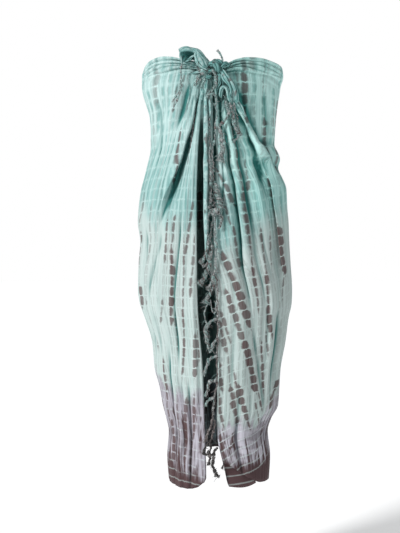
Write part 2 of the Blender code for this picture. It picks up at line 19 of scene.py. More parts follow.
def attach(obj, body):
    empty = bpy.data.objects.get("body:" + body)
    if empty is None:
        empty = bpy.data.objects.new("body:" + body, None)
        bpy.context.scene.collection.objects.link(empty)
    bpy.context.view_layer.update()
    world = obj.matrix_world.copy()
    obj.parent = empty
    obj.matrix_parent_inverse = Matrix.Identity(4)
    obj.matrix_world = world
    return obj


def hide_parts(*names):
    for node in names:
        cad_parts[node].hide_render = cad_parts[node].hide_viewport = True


MM = 0.001
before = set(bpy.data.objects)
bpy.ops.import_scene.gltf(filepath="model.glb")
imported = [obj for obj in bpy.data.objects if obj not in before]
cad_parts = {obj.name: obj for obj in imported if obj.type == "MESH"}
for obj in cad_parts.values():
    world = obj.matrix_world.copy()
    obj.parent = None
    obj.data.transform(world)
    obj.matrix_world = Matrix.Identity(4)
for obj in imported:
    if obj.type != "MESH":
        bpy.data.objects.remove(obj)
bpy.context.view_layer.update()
print("solids:", sorted(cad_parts))


def put_in_scene(name, data):
    """A new object with the given data, at the origin."""
    made = bpy.data.objects.new(name, data)
    bpy.context.scene.collection.objects.link(made)
    return made


# %% [markdown]
# ## The camera
# The photograph was taken level with the middle of the cloth, a little to the left of the knot. The camera stands two
# metres away, and its lens is worked out from the height that the frame takes in at the wearer's middle.

# %% The camera
FRAME_PIXELS_HIGH = 533
PIXEL = 0.0025
CAMERA_PLACE = Vector((-0.0325, -2.0, -0.491))
SENSOR = 36.0

camera = put_in_scene("camera", bpy.data.cameras.new("camera"))
camera.location = CAMERA_PLACE
camera.rotation_euler = (math.radians(90), 0, 0)
camera.data.sensor_width = SENSOR
camera.data.lens = SENSOR * -CAMERA_PLACE.y / (FRAME_PIXELS_HIGH * PIXEL)
bpy.context.scene.camera = camera
print("lens in millimetres:", round(camera.data.lens, 2))

# %% [markdown]
# ## The wrap's form
# The outline is a short table: how far the cloth reaches to each side, and to the front and back, at each drop below
# the top. These are the sizes of the solids, so the looks stay where the solids are. Smooth curves through the tables
# give every place between, and they never swing past the values that they go through.

# %% Smooth curves through tables
KNOT_DROP = 0.041
FAN_DROP = 0.42
LOWEST_DROP = 1.02
BACK_HEM_DROP = 1.016
BACK_HEM_RISE = 0.052
SIDE_TOP_DROP = 0.004


def curve_through(places, values, at):
    """A smooth curve through the points that never overshoots them, read at the given places."""
    places, values = np.asarray(places, float), np.asarray(values, float)
    steps = np.diff(places)
    slopes = np.diff(values) / steps
    before, after = slopes[:-1], slopes[1:]
    same_way = before * after > 0
    total = np.where(same_way, before + after, 1.0)
    middle = np.where(same_way, 2 * before * after / total, 0.0)
    tangents = np.concatenate([slopes[:1], middle, slopes[-1:]])
    at = np.clip(at, places[0], places[-1])
    i = np.clip(np.searchsorted(places, at) - 1, 0, len(steps) - 1)
    t = (at - places[i]) / steps[i]
    ease = t * t * (3 - 2 * t)
    lead_in = t * (1 - t) ** 2 * steps[i] * tangents[i]
    lead_out = t * t * (t - 1) * steps[i] * tangents[i + 1]
    return values[i] + (values[i + 1] - values[i]) * ease + lead_in + lead_out


def read(table, column, at):
    """A table's column as a smooth function of its first column."""
    first = next(iter(table))
    return curve_through(table[first], table[column], at)


def rise(start, end, at):
    """0 before start and 1 after end, with a smooth step between."""
    t = np.clip((at - start) / (end - start), 0, 1)
    return t * t * (3 - 2 * t)


# %% The wrap's outline
SECTIONS = {
    "drop": (0.000, 0.018, 0.045, 0.065, 0.090, 0.125, 0.165, 0.190, 0.208, 0.225, 0.245, 0.270, 0.300, 0.345,
             0.380, 0.430, 0.480, 0.550, 0.580, 0.620, 0.680, 0.745, 0.790, 0.835, 0.865, 0.900, 0.960, 1.020),
    "left": (0.172, 0.177, 0.177, 0.174, 0.166, 0.157, 0.155, 0.155, 0.156, 0.160, 0.165, 0.171, 0.179, 0.185,
             0.187, 0.181, 0.185, 0.187, 0.183, 0.169, 0.151, 0.145, 0.133, 0.125, 0.117, 0.110, 0.114, 0.110),
    "right": (0.173, 0.175, 0.168, 0.165, 0.161, 0.157, 0.154, 0.153, 0.162, 0.167, 0.162, 0.172, 0.183, 0.185,
              0.188, 0.190, 0.193, 0.197, 0.196, 0.188, 0.180, 0.168, 0.165, 0.162, 0.146, 0.136, 0.142, 0.139),
    "front": (0.118, 0.121, 0.125, 0.127, 0.127, 0.126, 0.125, 0.125, 0.126, 0.126, 0.127, 0.128, 0.129, 0.130,
              0.131, 0.132, 0.132, 0.132, 0.132, 0.131, 0.129, 0.127, 0.126, 0.124, 0.123, 0.121, 0.119, 0.117),
    "back": (0.105, 0.107, 0.109, 0.109, 0.107, 0.103, 0.100, 0.101, 0.102, 0.104, 0.107, 0.112, 0.117, 0.121,
             0.124, 0.126, 0.127, 0.126, 0.125, 0.123, 0.120, 0.117, 0.115, 0.113, 0.112, 0.111, 0.110, 0.109),
}
EDGES = {
    "drop": (0.030, 0.080, 0.148, 0.218, 0.335, 0.452, 0.487, 0.534, 0.593, 0.663, 0.733, 0.850, 0.897, 0.925,
             0.979, LOWEST_DROP),
    "left": (-0.0245, -0.0270, -0.0315, -0.0370, -0.0407, -0.0407, -0.0400, -0.0397, -0.0380, -0.0325, -0.0267,
             -0.0225, -0.0208, -0.0200, -0.0187, -0.0185),
    "right": (-0.0195, -0.0215, -0.0245, -0.0245, -0.0245, -0.0220, -0.0138, 0.0003, 0.0073, 0.0090, 0.0096,
              0.0075, 0.0096, 0.0150, 0.0280, 0.0354),
}
RETURNS = {
    "drop": (0.03, 0.20, 0.50, 0.85, 0.93, LOWEST_DROP),
    "left": (0.004, 0.012, 0.026, 0.030, 0.030, 0.030),
    "right": (0.003, 0.004, 0.005, 0.010, 0.055, 0.098),
}
TOP_EDGES = {
    "share": (0.0, 0.08, 0.15, 0.24, 0.34, 0.48, 0.64, 0.82, 1.0),
    "left": (0.026, 0.013, 0.005, -0.003, -0.009, -0.0125, -0.010, -0.003, SIDE_TOP_DROP),
    "right": (0.032, 0.024, 0.015, 0.002, -0.005, -0.0070, -0.004, -0.001, SIDE_TOP_DROP),
}
HEMS = {
    "along": (-1.0, -0.75, -0.5, -0.25, 0.0, 0.12, 0.30, 0.55, 1.0),
    "left": (0.984, 0.985, 0.986, 0.990, 1.000, 1.013, 1.020, 1.020, BACK_HEM_DROP),
    "right": (1.016, 1.019, 1.012, 0.985, 0.956, 0.970, 0.994, 1.012, BACK_HEM_DROP),
}
TURN_RADIUS = 0.0035
RETURN_SINK = 0.08

# %% [markdown]
# ## The creases
# The knot draws the cloth together, so its folds fan out from there and then hang straight. Each fold is one row of a
# table: the line that it follows as seen from the front, how wide it is on the side of the slit and on the far side,
# and how far it stands out or lies in. Unequal widths make a fold lean over, and the narrow side is its sharp line.
# The width is a share of the panel, so a fold narrows towards the knot as gathered cloth does.

# %% The creases
# Where the photograph lies on the front of the cloth: the size of a pixel there, in millimetres, its middle pixel, and
# that pixel's x in millimetres and drop in metres.
PIXEL_SIZE = 2.34
MIDDLE_PIXEL = (200, 266.5)
MIDDLE_X, MIDDLE_DROP = -32.5, 0.491


def seen(*places):
    """A line read in the photograph, from pixels to x and drop in metres, to the millimetre."""
    return tuple(
        (round(((x - MIDDLE_PIXEL[0]) * PIXEL_SIZE + MIDDLE_X) / 1000, 3),
         round(MIDDLE_DROP + (y - MIDDLE_PIXEL[1]) * PIXEL_SIZE / 1000, 3))
        for x, y in places
    )


SLIT_CREASE = seen((222, 116), (226.5, 134), (230, 152), (233.5, 172), (237.2, 192), (240.5, 215), (244, 245),
                   (248.5, 285), (252.5, 325))
FRONT_FOLDS = {
    # the line as x and drop in metres, width on the slit's side, width on the far side, height
    "left": (
        (seen((204, 81), (199, 94), (195.4, 104), (192.8, 116), (190, 128), (187, 140), (183.5, 152), (179, 166),
              (172, 186), (163, 208), (156, 230)), 0.110, 0.030, -0.0190),
        (seen((205, 84), (202.5, 95), (200, 110), (198, 125), (196, 140), (194.5, 155), (192, 172), (188, 192),
              (184, 218), (181, 260)), 0.090, 0.100, 0.0065),
        (seen((203, 82), (197, 91), (191, 103), (187.5, 118), (184, 132), (179, 146), (173, 162), (166, 180)),
         0.045, 0.070, 0.0045),
        (seen((204, 74), (194, 78), (188.5, 84), (186, 92), (183.5, 102), (180, 113), (176, 126)),
         0.070, 0.045, -0.0110),
        (seen((200, 72), (186, 76), (178, 84), (175, 96), (172, 110), (168, 130)), 0.050, 0.060, 0.0035),
        (seen((190, 72), (172, 80), (166, 95), (163, 115), (161, 140), (158, 170)), 0.050, 0.050, -0.0028),
        (((-0.140, 0.070), (-0.150, 0.300)), 0.018, 0.030, -0.0040),
        (((-0.070, 0.330), (-0.078, 0.800)), 0.014, 0.040, -0.0060),
        (((-0.100, 0.350), (-0.096, 0.900)), 0.070, 0.040, 0.0045),
        (((-0.122, 0.400), (-0.118, 0.860)), 0.030, 0.060, -0.0040),
        (((-0.046, 0.480), (-0.036, 0.900)), 0.020, 0.050, 0.0055),
        (((-0.164, 0.400), (-0.130, 0.700)), 0.016, 0.040, -0.0060),
        (((-0.085, 0.700), (-0.080, 1.060)), 0.030, 0.060, 0.0075),
        (((-0.062, 0.760), (-0.060, 1.060)), 0.040, 0.020, -0.0070),
        (((-0.105, 0.680), (-0.096, 1.060)), 0.020, 0.050, -0.0080),
    ),
    "right": (
        (seen((229, 92), (238, 108), (244, 117), (250, 127), (256, 137), (263, 149), (270, 161), (276, 173),
              (281, 190)), 0.026, 0.060, 0.0170),
        (seen((231, 98), (240, 113), (246.5, 125), (251, 137), (255, 151), (259.5, 166), (264.5, 182), (269, 200)),
         0.085, 0.024, -0.0150),
        (seen((231, 98), (238, 112), (243.5, 126), (248, 143), (252.5, 162), (257, 182), (262, 206), (266, 232)),
         0.045, 0.045, 0.0095),
        (seen((229, 112), (235, 132), (239, 152), (242, 171), (246, 192), (250, 214), (254, 240)),
         0.030, 0.030, -0.0070),
        (seen((224, 112), (229, 133), (232.3, 150), (235.5, 170), (239.5, 190), (243, 215), (247, 245), (252, 285)),
         0.016, 0.050, 0.0110),
        (SLIT_CREASE, 0.070, 0.014, -0.0120),
        (seen((219, 130), (222, 150), (226, 175), (229, 200), (233, 230), (238, 262)), 0.050, 0.060, 0.0080),
        (seen((214, 140), (217, 160), (219.5, 185), (221, 205), (224, 235)), 0.030, 0.050, -0.0060),
        (seen((226, 74), (235, 86), (243, 101), (250, 118), (260, 137), (271, 156), (278, 168)),
         0.024, 0.100, -0.0165),
        (((-0.0175, 0.085), (-0.0180, 0.200), (-0.0185, 0.460)), 0.020, 0.016, 0.0060),
        (((-0.0100, 0.040), (-0.0100, 0.200), (-0.0105, 0.460)), 0.012, 0.012, -0.0090),
        (((-0.0010, 0.020), (0.0000, 0.120), (-0.0010, 0.300), (-0.0010, 0.520)), 0.022, 0.030, -0.0240),
        (((0.0170, 0.110), (0.0190, 0.200), (0.0180, 0.360)), 0.016, 0.020, -0.0080),
        (((0.005, 0.020), (0.010, 0.060), (0.014, 0.090), (0.017, 0.170)), 0.030, 0.030, -0.0170),
        (((0.120, 0.050), (0.138, 0.190)), 0.030, 0.016, -0.0050),
        (((0.142, 0.060), (0.146, 0.200)), 0.016, 0.026, 0.0040),
        (((0.100, 0.420), (0.118, 0.860)), 0.030, 0.050, 0.0050),
        (((0.132, 0.400), (0.124, 0.860)), 0.024, 0.050, -0.0045),
        (((0.030, 0.420), (0.060, 0.900)), 0.080, 0.070, 0.0070),
        (((0.090, 0.640), (0.112, 0.900)), 0.018, 0.040, -0.0045),
        (((0.060, 0.760), (0.074, 1.060)), 0.050, 0.050, -0.0070),
        (((0.160, 0.560), (0.140, 0.860)), 0.030, 0.050, 0.0080),
    ),
}
LAPS = {
    # the line, half the length of cloth in the lap, height, 1 if the slit's side is on top and -1 if the far side is
    "left": (
        (((-0.022, 0.053), (-0.032, 0.083), (-0.043, 0.106), (-0.049, 0.136), (-0.056, 0.164), (-0.065, 0.190),
          (-0.072, 0.214), (-0.079, 0.237), (-0.089, 0.261), (-0.107, 0.303), (-0.131, 0.354)), 0.085, 0.0065, -1),
        (((-0.160, 0.470), (-0.132, 0.690)), 0.060, 0.0050, 1),
    ),
    "right": (
        (((0.040, 0.090), (0.052, 0.120), (0.068, 0.145), (0.081, 0.169), (0.093, 0.195), (0.103, 0.218),
          (0.117, 0.247), (0.131, 0.277)), 0.055, 0.0050, -1),
        (SLIT_CREASE[1:], 0.040, 0.0035, -1),
        (((0.118, 0.250), (0.172, 0.540)), 0.060, 0.0060, -1),
    ),
}
LAP_REACH = 2.5
LAP_LIFT = 2.8
BUMP_SHARPNESS = 1.7
BACK_FOLDS = (
    # angle at the start, angle at the end, half width in degrees, height, drop of the start, drop of the end
    (-64, -56, 8, 0.007, 0.10, 1.00),
    (-44, -40, 7, -0.007, 0.03, 0.70),
    (-22, -26, 9, 0.006, 0.16, 1.20),
    (-4, 2, 7, -0.007, 0.28, 1.20),
    (16, 22, 8, 0.006, 0.06, 0.80),
    (40, 36, 8, -0.007, 0.24, 1.20),
    (62, 58, 8, 0.006, 0.12, 1.20),
)
TOP_PLEATS = (
    # depth below the top edge, width above, width below, height
    (0.0080, 0.0022, 0.0034, -0.0046),
    (0.0180, 0.0022, 0.0040, -0.0056),
    (0.0275, 0.0022, 0.0040, -0.0052),
    (0.0380, 0.0024, 0.0090, -0.0050),
    (0.0500, 0.0030, 0.0100, -0.0016),
)
PLEAT_SQUEEZE = 0.34
OPENS_OUT = 9.0
PLEATS_AT_KNOT = 1.3
PLEAT_ZONE = 0.064
PLEATS_START = (0.0, 0.05)
PLEATS_END = (0.70, 0.98)
FRONT_SIDE_FADE = (0.88, 1.0)
BACK_SIDE_FADE = (74, 90)
RETURN_FADE = (0, 0.03)
FADE = 0.02
SMALL_CREASES = 90
CREASE_LIMITS = {
    # drop of the start, length, place, lean, width on each side and height, as the least and the most
    "front": ((0.02, 0.85), (0.08, 0.35), (0.04, 1.0), (-0.05, 0.05), (0.008, 0.028), (-0.0022, 0.0016)),
    "back": ((0.0, 0.85), (0.10, 0.45), (-88, 88), (-8, 8), (1.2, 3.6), (-0.0022, 0.0018)),
}
# Painted shade: how many rows and columns round each point the creases and broad hollows are measured over, how deep
# each is when fully darkened, and how far and how strongly the cloth round the knot is darkened.
CREASE_SHADE_REACH = (3, 5)
FULL_CREASE_SHADE = 0.0036
HOLLOW_SHADE_REACH = (3, 16)
FULL_HOLLOW_SHADE = 0.0125
KNOT_X = 0.006
KNOT_SHADE_REACH = 0.085
KNOT_SHADE_DEPTH = 0.58
SIDE_OF = {"left": -1, "right": 1}
SEED = 11


def fan(drop):
    """How far the gathered cloth has opened out below the knot, from 0 at the knot to 1."""
    fallen = np.maximum(drop - KNOT_DROP, 0) / FAN_DROP
    return fallen / (1 + fallen**3) ** (1 / 3)


def leaning_bump(offset, before, after):
    """A bump with its own width on each side, so that it can have one sharp side."""
    return np.exp(-(np.abs(offset / np.where(offset < 0, before, after)) ** BUMP_SHARPNESS))


def on_oval(reach, depth, turn):
    """A point on an oval with its outward normal, as x, y, x and y. The depth is below zero for the front."""
    normal_x, normal_y = np.sin(turn) / reach, np.cos(turn) / depth
    length = np.hypot(normal_x, normal_y)
    return reach * np.sin(turn), depth * np.cos(turn), normal_x / length, normal_y / length


def smooth_outline(panel, angle, drop):
    """The wrap without folds at an angle from straight ahead: x, y and the outward normal."""
    sign = SIDE_OF[panel]
    other = "right" if panel == "left" else "left"
    reach = np.where(angle > 0, read(SECTIONS, panel, drop), read(SECTIONS, other, drop))
    x, y, normal_x, normal_y = on_oval(reach, -read(SECTIONS, "front", drop), angle)
    return sign * x, y, sign * normal_x, normal_y


def panel_angle(panel, across, drop):
    """The angle from straight ahead at a share of the panel, and the share of the way from the edge to the side."""
    edge = SIDE_OF[panel] * read(EDGES, panel, drop) + TURN_RADIUS
    edge_angle = np.arcsin(edge / read(SECTIONS, panel, drop))
    gathered = across**3
    share = gathered + (across - gathered) * fan(drop)
    return edge_angle + share * (math.pi / 2 - edge_angle), share


def share_at(panel, x, drop):
    """Which share of the panel a place seen from the front lies at."""
    tried = np.linspace(0, 1, 801)
    angle, _ = panel_angle(panel, tried, np.full_like(tried, drop))
    reached, *_ = smooth_outline(panel, angle, np.full_like(tried, drop))
    return float(np.interp(SIDE_OF[panel] * x, SIDE_OF[panel] * reached, tried))


def along_line(start, end, from_drop, to_drop, drop):
    return start + (end - start) * np.clip((drop - from_drop) / (to_drop - from_drop), 0, 1)


def along_path(panel, path, drop):
    """Where a line seen from the front runs on the panel, as a share of it at each drop."""
    shares = [share_at(panel, x, min(fall, LOWEST_DROP)) for x, fall in path]
    return curve_through([fall for _, fall in path], shares, drop)


def shown_between(from_drop, to_drop, drop):
    """How much of a fold shows at a drop: it grows in quickly and fades out slowly."""
    length = to_drop - from_drop
    risen = rise(from_drop - FADE, from_drop + 0.2 * length, drop)
    return risen * (1 - rise(to_drop - 0.35 * length, to_drop + FADE, drop))


def small_creases(stretch, at, drop, seed):
    """The height of the small uneven creases, at a share of a front panel or at an angle on the back."""
    chance = np.random.default_rng(seed)
    tops, lengths, places, leans, widths, heights = CREASE_LIMITS[stretch]
    total = np.zeros(np.broadcast(at, drop).shape)
    for _ in range(SMALL_CREASES):
        top, length, place, lean = (chance.uniform(*limits) for limits in (tops, lengths, places, leans))
        near, far = chance.uniform(*widths, 2)
        bump = leaning_bump(at - along_line(place, place + lean, top, top + length, drop), near, far)
        total += chance.uniform(*heights) * bump * shown_between(top, top + length, drop)
    return total


def front_folds(panel, across, drop):
    """The height of the large folds and of the small uneven creases between them."""
    total = np.zeros(np.broadcast(across, drop).shape)
    for path, near, far, height in FRONT_FOLDS[panel]:
        offset = across - along_path(panel, path, drop)
        total += height * leaning_bump(offset, near, far) * shown_between(path[0][1], path[-1][1], drop)
    return total + small_creases("front", across, drop, SEED + len(panel))


def laps(panel, across, drop):
    """Where the cloth laps over itself: how far it slides sideways, as a share of the panel, and stands out."""
    slide = np.zeros(np.broadcast(across, drop).shape)
    height = np.zeros_like(slide)
    for path, length, lift, over in LAPS[panel]:
        u = np.clip((across - along_path(panel, path, drop)) / length, -1, 1)
        lap = u * (1 - u**2) ** 2 * shown_between(path[0][1], path[-1][1], drop)
        slide -= LAP_REACH * length * lap
        height -= LAP_LIFT * over * lift * lap
    return slide, height


def pleat_squeeze(share):
    return PLEAT_SQUEEZE + (1 - PLEAT_SQUEEZE) * rise(0.0, 0.5, share)


def top_pleats(panel, share, drop):
    """The tight pleats along the top edge, which run together towards the knot."""
    depth = drop - read(TOP_EDGES, panel, share)
    squeeze = pleat_squeeze(share)
    shown = rise(*PLEATS_START, share) * (1 - rise(*PLEATS_END, share))
    total = np.zeros(np.broadcast(share, drop).shape)
    for i, (below, above_width, below_width, height) in enumerate(TOP_PLEATS):
        wander = 1 + 0.09 * np.sin(9 * share + 2.1 * i + len(panel))
        total += height * leaning_bump(depth / squeeze - below * wander, above_width, below_width)
    return total * shown * (1 + PLEATS_AT_KNOT * (1 - rise(0.0, 0.45, share)))


def panel_point(panel, along, drop):
    """A point on a front panel. Along runs from the edge (0) to the side (1), and below 0 round the edge and back."""
    sign = SIDE_OF[panel]
    across = np.maximum(along, 0)
    slide, lap_height = laps(panel, across, drop)
    angle, share = panel_angle(panel, across + slide, drop)
    turned = np.clip(-2 * along, 0, 1) * math.pi
    gone_back = np.clip(-2 * along - 1, 0, 1) * read(RETURNS, panel, drop)
    angle = angle + gone_back / read(SECTIONS, panel, drop)
    x, y, normal_x, normal_y = smooth_outline(panel, angle, drop)
    height = front_folds(panel, across, drop) * np.minimum(1, fan(drop) * OPENS_OUT) + lap_height
    height = height * (1 - rise(*FRONT_SIDE_FADE, share)) * (1 - rise(*RETURN_FADE, gone_back))
    height = height + top_pleats(panel, share, drop)
    height = height - TURN_RADIUS * (1 - np.cos(turned)) - RETURN_SINK * gone_back
    ahead = TURN_RADIUS * np.sin(turned)
    x = x + height * normal_x + sign * ahead * normal_y
    y = y + height * normal_y - sign * ahead * normal_x
    return np.stack([x, y, -drop], axis=-1)


def back_point(angle, drop):
    """A point on the back, with its angle in degrees from -90 at the left side to 90 at the right."""
    turn = np.radians(angle)
    reach = np.where(turn < 0, read(SECTIONS, "left", drop), read(SECTIONS, "right", drop))
    x, y, normal_x, normal_y = on_oval(reach, read(SECTIONS, "back", drop), turn)
    height = np.zeros(np.broadcast(angle, drop).shape)
    for start, end, width, fold_height, top, low in BACK_FOLDS:
        offset = angle - along_line(start, end, top, low, drop)
        height += fold_height * leaning_bump(offset, width, 0.7 * width) * shown_between(top, low, drop)
    height = (height + small_creases("back", angle, drop, SEED)) * (1 - rise(*BACK_SIDE_FADE, np.abs(angle)))
    return np.stack([x + height * normal_x, y + height * normal_y, -drop], axis=-1)


# %% [markdown]
# ## One cloth, all the way round
# The wound cloth is a single grid. Its columns start at the right-hand cloth end, pass round the turned edge, the
# right front, the back and the left front, and end where the left-hand end is turned in. The rows lie close together
# in the pleats and further apart below. The grid keeps two notes for the dyer: a UV map with the flat cloth in
# metres, and an attribute with each point's place on its panel, its drop and how many bound rows lie above it.

# %% The wound cloth
COLUMNS = {"return": 10, "turn": 6, "front": 96, "back": 50}
PLEAT_ROWS = 46
BODY_ROWS = 122
CLOTH_THICKNESS = 0.0008
SEAM_ANGLE = 89.8
ROW_COUNTS = {"drop": (-0.02, 0.20, 0.57, 0.85, 1.02), "rows": (-0.7, 7.0, 21.2, 33.4, 41.6)}
ROW_LIFTS = {
    "share": (0.0, 0.25, 0.50, 0.75, 1.0),
    "left": (0.000, 0.003, 0.006, 0.004, 0.000),
    "right": (0.000, 0.024, 0.036, 0.062, 0.100),
}
BANDS = {
    # the drop at which each dye ends, by the place round the cloth: -1 is the left slit edge, 1 the right one
    "round": (-1.0, -0.86, -0.70, -0.50, -0.30, 0.0, 0.30, 0.50, 0.62, 0.74, 0.86, 1.0),
    "teal": (0.400, 0.385, 0.365, 0.335, 0.360, 0.330, 0.370, 0.350, 0.360, 0.395, 0.440, 0.475),
    "pale": (0.800, 0.795, 0.775, 0.745, 0.800, 0.780, 0.800, 0.765, 0.800, 0.862, 0.868, 0.872),
    "grey": (0.990, 0.985, 0.965, 0.955, 0.950, 0.950, 0.950, 0.948, 0.945, 0.950, 0.955, 0.948),
}


def row_drop(top, hem, squeeze, row):
    """The drop of each mesh row: the pleats' rows first, then longer steps to the hem."""
    zone = PLEAT_ZONE * squeeze
    step = np.clip((row - PLEAT_ROWS) / BODY_ROWS, 0, 1)
    return top + np.clip(row / PLEAT_ROWS, 0, 1) * zone + (hem - top - zone) * (0.75 * step + 0.25 * step**2)


def panel_stretch(panel):
    """A front panel as points, with the place on the panel, drop and row count of each, and its place round."""
    along = np.concatenate([
        np.linspace(-1, -0.5, COLUMNS["return"] + 1)[:-1],
        np.linspace(-0.5, 0, COLUMNS["turn"] + 1)[:-1],
        np.linspace(0, 1, COLUMNS["front"] + 1),
    ])
    along, row = np.meshgrid(along, np.arange(PLEAT_ROWS + BODY_ROWS + 1.0))
    share = np.maximum(along, 0) ** 3
    drop = row_drop(read(TOP_EDGES, panel, share), read(HEMS, panel, along), pleat_squeeze(share), row)
    points = panel_point(panel, along, drop)
    points[along > 0.999, 1] = 0.0
    counted = read(ROW_COUNTS, "rows", drop + read(ROW_LIFTS, panel, np.maximum(along, 0)) * fan(drop))
    place = SIDE_OF[panel] * (1 - 0.5 * np.clip(along, 0, 1))
    return points, np.stack([along, drop, counted], axis=-1), place


def back_stretch():
    angle = np.linspace(-90, 90, COLUMNS["back"] + 1)[1:-1]
    angle, row = np.meshgrid(np.concatenate([[-SEAM_ANGLE], angle]), np.arange(PLEAT_ROWS + BODY_ROWS + 1.0))
    hem = BACK_HEM_DROP - BACK_HEM_RISE * np.cos(np.radians(angle)) ** 4
    drop = row_drop(SIDE_TOP_DROP, hem, 1.0, row)
    counted = read(ROW_COUNTS, "rows", drop + 0.05 * (1 + angle / 90))
    return back_point(angle, drop), np.stack([(angle + 90) / 180, drop, counted], axis=-1), angle / 180


def hollows(points, rows, columns):
    """How deep each point lies below the cloth around it, in metres. A crease is hollow and a ridge is below zero."""
    around = points
    for axis, reach in ((0, rows), (1, columns)):
        padded = np.pad(around, [(reach, reach) if k == axis else (0, 0) for k in range(3)], mode="edge")
        near = [np.take(padded, np.arange(points.shape[axis]) + k, axis) for k in range(2 * reach + 1)]
        around = np.mean(near, axis=0)
    outward = points[..., :2] / np.linalg.norm(points[..., :2], axis=-1, keepdims=True)
    return np.sum((around[..., :2] - points[..., :2]) * outward, axis=-1)


def painted_shade_amounts(points):
    """How much painted shade each point takes: in the creases, in the broad hollows and close round the knot."""
    # Painted shade in the creases and in the broad hollows.
    creases = np.clip(hollows(points, *CREASE_SHADE_REACH) / FULL_CREASE_SHADE - 0.05, 0, 1)
    broad_shade = np.clip(hollows(points, *HOLLOW_SHADE_REACH) / FULL_HOLLOW_SHADE - 0.15, 0, 0.8)
    from_knot = np.hypot(points[..., 0] - KNOT_X, 0.7 * (points[..., 2] + KNOT_DROP)) / KNOT_SHADE_REACH
    # Painted shade round the knot, where the gathered cloth shades itself, on the front only.
    gathered = KNOT_SHADE_DEPTH * np.exp(-(from_knot**2)) * (points[..., 1] < 0)
    return np.clip(creases + broad_shade + gathered, 0, 1)


def wound_cloth():
    """The whole cloth from its right-hand end to its left-hand one, with the dyer's notes and painted shade on it."""
    right, left, back = panel_stretch("right"), panel_stretch("left"), back_stretch()
    points, chart, place = (
        np.concatenate([right[k], back[k][:, ::-1], left[k][:, ::-1]], axis=1) for k in range(3)
    )
    rows, columns = points.shape[:2]
    bands = np.stack([chart[..., 1] - read(BANDS, name, place) for name in ("teal", "pale", "grey")], axis=-1)
    steps = np.linalg.norm(np.diff(points[rows // 2], axis=0), axis=1)
    flat_across = np.concatenate([[0], np.cumsum(steps)])

    bm = bmesh.new()
    bmesh.ops.create_grid(bm, x_segments=columns - 1, y_segments=rows - 1, size=0.5)
    bm.verts.ensure_lookup_table()
    places = np.array([v.co for v in bm.verts])
    across = np.rint((places[:, 0] + 0.5) * (columns - 1)).astype(int)
    down = np.rint((0.5 - places[:, 1]) * (rows - 1)).astype(int)
    flat = bm.loops.layers.uv.new("flat")
    ends = (right[0].shape[1], right[0].shape[1] + back[0].shape[1])
    for vertex, i, j in zip(bm.verts, across, down):
        vertex.co = points[j, i]
    for face in bm.faces:
        face.smooth = True
        first = min(across[v.index] for v in face.verts)
        face.material_index = 0 if first < ends[0] - 1 else 1 if first < ends[1] else 2
        for loop in face.loops:
            i, j = across[loop.vert.index], down[loop.vert.index]
            loop[flat].uv = (flat_across[i], -chart[j, i, 1])
    mesh = bpy.data.meshes.new("wound_cloth")
    bm.to_mesh(mesh)
    bm.free()
    # The crease attribute is painted shade: how much each point is darkened in creases, hollows and round the knot.
    for name, kind, field, values in (
        ("chart", "FLOAT_VECTOR", "vector", chart),
        ("bands", "FLOAT_VECTOR", "vector", bands),
        ("crease", "FLOAT", "value", painted_shade_amounts(points)),
    ):
        attribute = mesh.attributes.new(name, kind, "POINT")
        attribute.data.foreach_set(field, values[down, across].astype(np.float32).ravel())
    made = put_in_scene("wound_cloth", mesh)
    wall = made.modifiers.new("Thickness", "SOLIDIFY")
    wall.thickness = CLOTH_THICKNESS
    wall.offset = 0.0
    wall.material_offset = 3
    print("the flat cloth that shows:", round(float(flat_across[-1]), 3), "m round")
    return made


wrap = wound_cloth()
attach(wrap, "root")
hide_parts("front_left", "back", "front_right")

# %% [markdown]
# ## Gathered cloth
# Round the knot the cloth is drawn together into thick soft rolls, each with many small pleats along it. One helper
# makes such a roll: a grid is bent round a smooth line, its two sides are joined and its ends are closed. A roll has
# its own width and depth at each place, so the same helper also makes flat folded ribbons.

# %% Lines and rolls
FORWARD = np.array((0.0, -1.0, 0.0))
END_ROUNDING = 9
PLEAT_DEPTH = 0.34
PLEAT_LEVEL = 0.62


def read_evenly(values, count):
    """Values that are set out evenly along a line, read at a number of points on it."""
    return curve_through(np.arange(len(values)), values, np.linspace(0, len(values) - 1, count))


def smooth_line(places, count):
    """Points along a smooth line through the places, which are given in millimetres."""
    places = np.array(places, float) * MM
    return np.stack([read_evenly(places[:, k], count) for k in range(3)], axis=1)


def in_space(places):
    """Places given as x, distance ahead and drop, as x, y and z, or the other way round."""
    return [(x, -ahead, -drop) for x, ahead, drop in places]


def frames_of(line):
    """The direction along a line, the way to its side and the way to the front, at each point."""
    along = np.gradient(line, axis=0)
    along /= np.linalg.norm(along, axis=1)[:, None] + 1e-12
    side = np.cross(along, FORWARD)
    side /= np.linalg.norm(side, axis=1)[:, None] + 1e-12
    return along, side, np.cross(side, along)


